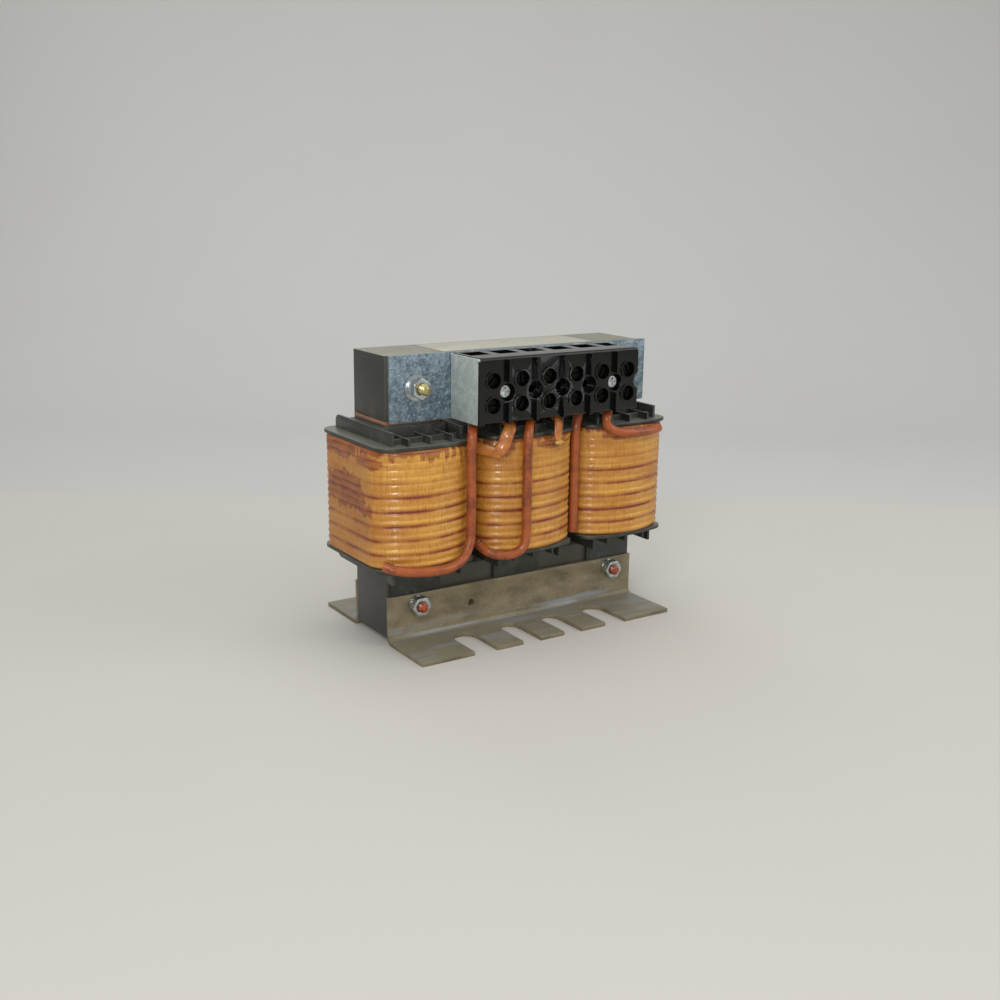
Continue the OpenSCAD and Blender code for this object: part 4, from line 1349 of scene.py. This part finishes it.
@dataclass
class ClampingBolts:
    """Both pairs of clamping bolts: turned-down copies and their threads."""

    upper_xs: tuple[float, float] = (-72.5, 73.9)
    lower_xs: tuple[float, float] = (-72.5, 72.5)
    upper_z: float = 154.3
    lower_z: float = 23.0
    upper_nut: float = 29.9
    lower_nut: float = 29.1
    upper_tip: float = 34.9
    lower_tip: float = 31.6
    root: float = 2.5
    tuck: float = 0.6
    edge: float = 0.15
    inset: float = 0.3
    short: float = 0.1

    def build(self) -> list[str]:
        """Makes the bolts and their threaded ends and names them."""
        made = []
        for row, xs, z, nut, tip, finish in (
            ("upper", self.upper_xs, self.upper_z, self.upper_nut, self.upper_tip, YELLOW_ZINC),
            ("lower", self.lower_xs, self.lower_z, self.lower_nut, self.lower_tip, MARKING_PAINT),
        ):
            node = f"{row}_bolts"
            blank = Blank.of_node(node)
            self._turn_down(blank, xs, z, nut - self.tuck, tip)
            piece = blank.soften(self.edge).piece(
                f"{node}_finished", YELLOW_ZINC, replaces=(node,), turn_out=False
            )
            made.append(piece.name)
            for side, x in zip(("left", "right"), xs):
                name = f"{row}_{side}_bolt_thread"
                made += ThreadedEnd(name, x, z, nut - self.tuck, tip, finish).build()
        return made

    def _turn_down(
        self, blank: Blank, xs: Sequence[float], z: float, start: float, tip: float
    ) -> None:
        """Narrows the bolts' ends to the root of the thread.

        Args:
            blank: The copy of both bolts.
            xs: Places of the bolts' axes.
            z: Their height.
            start: Where the narrow part begins, in front of the middle.
            tip: Where it ends.
        """
        mesh = blank.mesh
        bmesh.ops.bisect_plane(
            mesh,
            geom=mesh.verts[:] + mesh.edges[:] + mesh.faces[:],
            plane_co=(0, -start, 0),
            plane_no=(0, 1, 0),
        )
        for vert in mesh.verts:
            if vert.co.y < -start - 0.01:
                x = min(xs, key=lambda place: abs(place - vert.co.x))
                away = Vector((vert.co.x - x, 0, vert.co.z - z))
                if away.length > self.root - self.inset:
                    away *= (self.root - self.inset) / away.length
                vert.co = (x + away.x, max(vert.co.y, -tip + self.short), z + away.z)


@dataclass
class Studio:
    """Floor, backdrop, lamps and the camera at the photograph's viewpoint."""

    yaw: float = 33.34
    pitch: float = 14.27
    roll: float = 0.74
    lens: float = 43.72
    eye: Triple = (-0.41207, -0.62784, 0.26438)
    sensor: float = 36.0
    half_width: float = 3.0
    curve: float = 0.6
    wall: float = 2.4
    curve_steps: int = 24
    aim: Triple = (0, 0, 0.09)
    sky: float = 0.55
    lights: tuple[tuple[str, Triple, float, float], ...] = (
        ("key", (-0.95, -0.95, 0.95), 0.55, 7.0),
        ("front", (-0.7, -1.15, 0.42), 0.16, 4.0),
        ("fill", (0.9, -0.8, 0.7), 0.9, 4.0),
        ("top", (0.1, 0.1, 1.3), 1.0, 6.0),
        ("rear", (0.3, 1.2, 0.9), 0.8, 4.0),
    )

    def build(self) -> list[str]:
        """Sets up the studio and names what it made."""
        self.camera()
        self.paper()
        self.lamps()
        return ["camera", "studio_paper", "lamps"]

    def camera(self) -> None:
        """Places the camera."""
        yaw, pitch, roll = (math.radians(v) for v in (self.yaw, self.pitch, self.roll))
        ahead = Vector(
            (
                math.sin(yaw) * math.cos(pitch),
                math.cos(yaw) * math.cos(pitch),
                -math.sin(pitch),
            )
        )
        right = Vector((math.cos(yaw), -math.sin(yaw), 0))
        up = right.cross(ahead)
        across = right * math.cos(roll) + up * math.sin(roll)
        upward = up * math.cos(roll) - right * math.sin(roll)
        data = bpy.data.cameras.new("camera")
        data.lens = self.lens
        data.sensor_width = self.sensor
        data.clip_start, data.clip_end = 0.01, 20
        made = bpy.data.objects.new("camera", data)
        turn = Matrix((across, upward, -ahead)).transposed().to_4x4()
        made.matrix_world = Matrix.Translation(Vector(self.eye)) @ turn
        bpy.context.scene.collection.objects.link(made)
        bpy.context.scene.camera = made

    def paper(self) -> None:
        """Lays a sheet of paper that curves up behind the object."""
        mesh = bmesh.new()
        reach = self.half_width
        ends = [mesh.verts.new((side * reach, -reach, 0)) for side in (-1, 1)]
        edges = [mesh.edges.new(ends)]
        edges = self._draw(mesh, edges, (0, reach + self.curve, 0))
        bent = bmesh.ops.spin(
            mesh,
            geom=edges,
            cent=(0, self.curve, self.curve),
            axis=(1, 0, 0),
            angle=math.pi / 2,
            steps=self.curve_steps,
            use_merge=False,
        )["geom_last"]
        edges = [item for item in bent if isinstance(item, bmesh.types.BMEdge)]
        self._draw(mesh, edges, (0, 0, self.wall))
        for face in mesh.faces:
            face.smooth = True
        data = bpy.data.meshes.new("studio_paper")
        mesh.to_mesh(data)
        mesh.free()
        data.materials.append(PAPER.material())
        made = bpy.data.objects.new("studio_paper", data)
        made.rotation_euler = (0, 0, -math.radians(self.yaw))
        bpy.context.scene.collection.objects.link(made)

    @staticmethod
    def _draw(
        mesh: bmesh.types.BMesh, edges: list[bmesh.types.BMEdge], way: Triple
    ) -> list[bmesh.types.BMEdge]:
        """Extrudes edges by a vector and gives back the new edges."""
        grown = bmesh.ops.extrude_edge_only(mesh, edges=edges)["geom"]
        verts = [item for item in grown if isinstance(item, bmesh.types.BMVert)]
        bmesh.ops.translate(mesh, vec=way, verts=verts)
        fresh = set(verts)
        return [
            item
            for item in grown
            if isinstance(item, bmesh.types.BMEdge) and set(item.verts) <= fresh
        ]

    def lamps(self) -> None:
        """Hangs soft lamps and a plain pale sky."""
        for light in self.lights:
            self._lamp(*light)
        world = bpy.data.worlds.new("sky")
        world.use_nodes = True
        sky = world.node_tree.nodes["Background"]
        sky.inputs["Color"].default_value = (1.0, 0.99, 0.97, 1.0)
        sky.inputs["Strength"].default_value = self.sky
        bpy.context.scene.world = world

    def _lamp(self, name: str, place: Triple, size: float, power: float) -> None:
        """Hangs one square lamp that faces the object.

        Args:
            name: The lamp's name.
            place: Its place in metres.
            size: Its side in metres.
            power: Its power in watts.
        """
        data = bpy.data.lights.new(name, "AREA")
        data.size = size
        data.energy = power
        made = bpy.data.objects.new(name, data)
        made.location = place
        aim = Vector(self.aim) - Vector(place)
        made.rotation_euler = aim.to_track_quat("-Z", "Y").to_euler()
        bpy.context.scene.collection.objects.link(made)


LEADS = (
    Lead(
        1,
        -38.1,
        (
            (-103.4, -39, 56), (-99.4, -42.8, 54.3), (-92, -45.2, 52.6), (-82, -47.8, 51.6),
            (-72, -48.6, 51.3), (-64, -48, 51.6), (-57, -46.2, 53.4), (-51.6, -44.6, 57.6),
            (-48.4, -43.4, 64), (-47.5, -42.9, 72), (-47.3, -42.9, 90), (-47.6, -42.9, 112),
            (-47.7, -43.2, 121.5), (-46.9, -42.6, 127.2), (-43.4, -37.6, 130.9),
            (-39.6, -32, 131.9),
        ),
    ),
    Lead(
        2,
        -18.5,
        (
            (-36.3, -30.8, 116.6), (-34, -35.2, 116.2), (-31, -38.8, 115.4),
            (-28.4, -41.4, 115), (-26.4, -43, 117.8), (-24.8, -43.7, 121.6),
            (-23, -43.9, 126), (-20.2, -42.3, 130), (-18.7, -38, 131.4), (-18.5, -33, 131.8),
        ),
        TAPE,
        (
            (0.0, 1.2, 0.45), (0.22, 1.2, 0.4), (0.32, 1.45, 0.6), (0.4, 1.35, 0.4),
            (0.62, 1.25, 0.42), (0.78, 1.0, 1.0), (1.0, 1.0, 1.0),
        ),
        (0, 0, 1),
    ),
    Lead(
        3,
        1.1,
        (
            (-35.8, -31.4, 58.6), (-34.6, -34.6, 56), (-32, -40, 53.5), (-26, -43.2, 51.8),
            (-18.6, -45.6, 52.4), (-13, -47, 56), (-11, -47.3, 63), (-10.9, -47.3, 80),
            (-10.9, -47.3, 105), (-10.8, -47.3, 120), (-9.8, -46.6, 126), (-6.8, -43, 130),
            (-2.4, -37.4, 131.4), (0.6, -32.2, 132.2),
        ),
    ),
    Lead(
        4,
        18.3,
        (
            (17.6, -45.6, 117.2), (13.6, -47.4, 117.6), (11, -48, 121.4), (11.2, -47.4, 126),
            (13.4, -44.2, 130.4), (16, -38.6, 131.3), (17.8, -33, 131.9),
        ),
        TAPE,
        ((0.0, 0.5, 0.3), (0.16, 0.7, 0.35), (0.28, 1.25, 0.45), (0.5, 1.2, 0.5), (0.7, 1, 1)),
        (0, 0, 1),
    ),
    Lead(
        5,
        40.3,
        (
            (35.6, -32, 55.4), (35.5, -32, 64), (35.5, -32, 80), (35.5, -32, 100),
            (35.6, -32, 116), (36.2, -31.6, 123.6), (38.6, -30.4, 130),
        ),
    ),
    Lead(
        6,
        59.9,
        (
            (92.6, -43.8, 118.8), (86, -46.6, 118.6), (78, -48, 118.6), (70, -48.3, 118.8),
            (61.6, -47.3, 119.4), (54.4, -45.4, 121.4), (50.4, -44.6, 125),
            (50.6, -43.8, 129.4), (54, -40.4, 131.4), (58.4, -35, 131.7),
        ),
    ),
)

COILS = (
    VarnishedCoil(
        "left",
        -72.5,
        0.0,
        (
            Stain(-72, 94, 25, 11),
            Stain(-46, 86, 11, 4.5, 0.9),
            Stain(-80, 116, 18, 4.5),
            Stain(-44, 114, 14, 3.5, 0.8),
        ),
        band=7.0,
    ),
    VarnishedCoil(
        "middle", 0.0, 61.0, (Stain(12, 117, 14, 3, 0.8), Stain(-22, 116, 6, 4, 0.8)), band=4.0
    ),
    VarnishedCoil("right", 72.5, 127.0, (Stain(-8, 118, 16, 4, 0.8),)),
)


DAUBS = Daubs(
    (
        Daub("lead_1_end_knot", (-102.0, -40.4, 55.3), (3.1, 2.3, 2.5)),
        Daub("lead_3_end_varnish", (-35.2, -32.2, 57.6), (2.6, 3.2, 3.0)),
        Daub("lead_4_yellow_end", (11.6, -47.9, 118.4), (2.9, 1.3, 1.6), YELLOW_DAUB),
        Daub("lead_6_end_varnish", (92.4, -43.9, 118.8), (2.2, 2.4, 2.9)),
    )
)


def main() -> None:
    """Builds the studio and every piece, and logs what was made."""
    logging.basicConfig(level=logging.INFO, format="%(message)s")
    steps = (
        Studio(), *LEADS, *COILS, DAUBS, ClampingBolts(),
        DressedNodes(), SoftenedNodes(), CageClamps(),
    )
    for step in steps:
        LOG.info("%s: %s", type(step).__name__, ", ".join(step.build()))
    bpy.context.scene.view_settings.view_transform = "Standard"


if __name__ == "__main__":
    main()
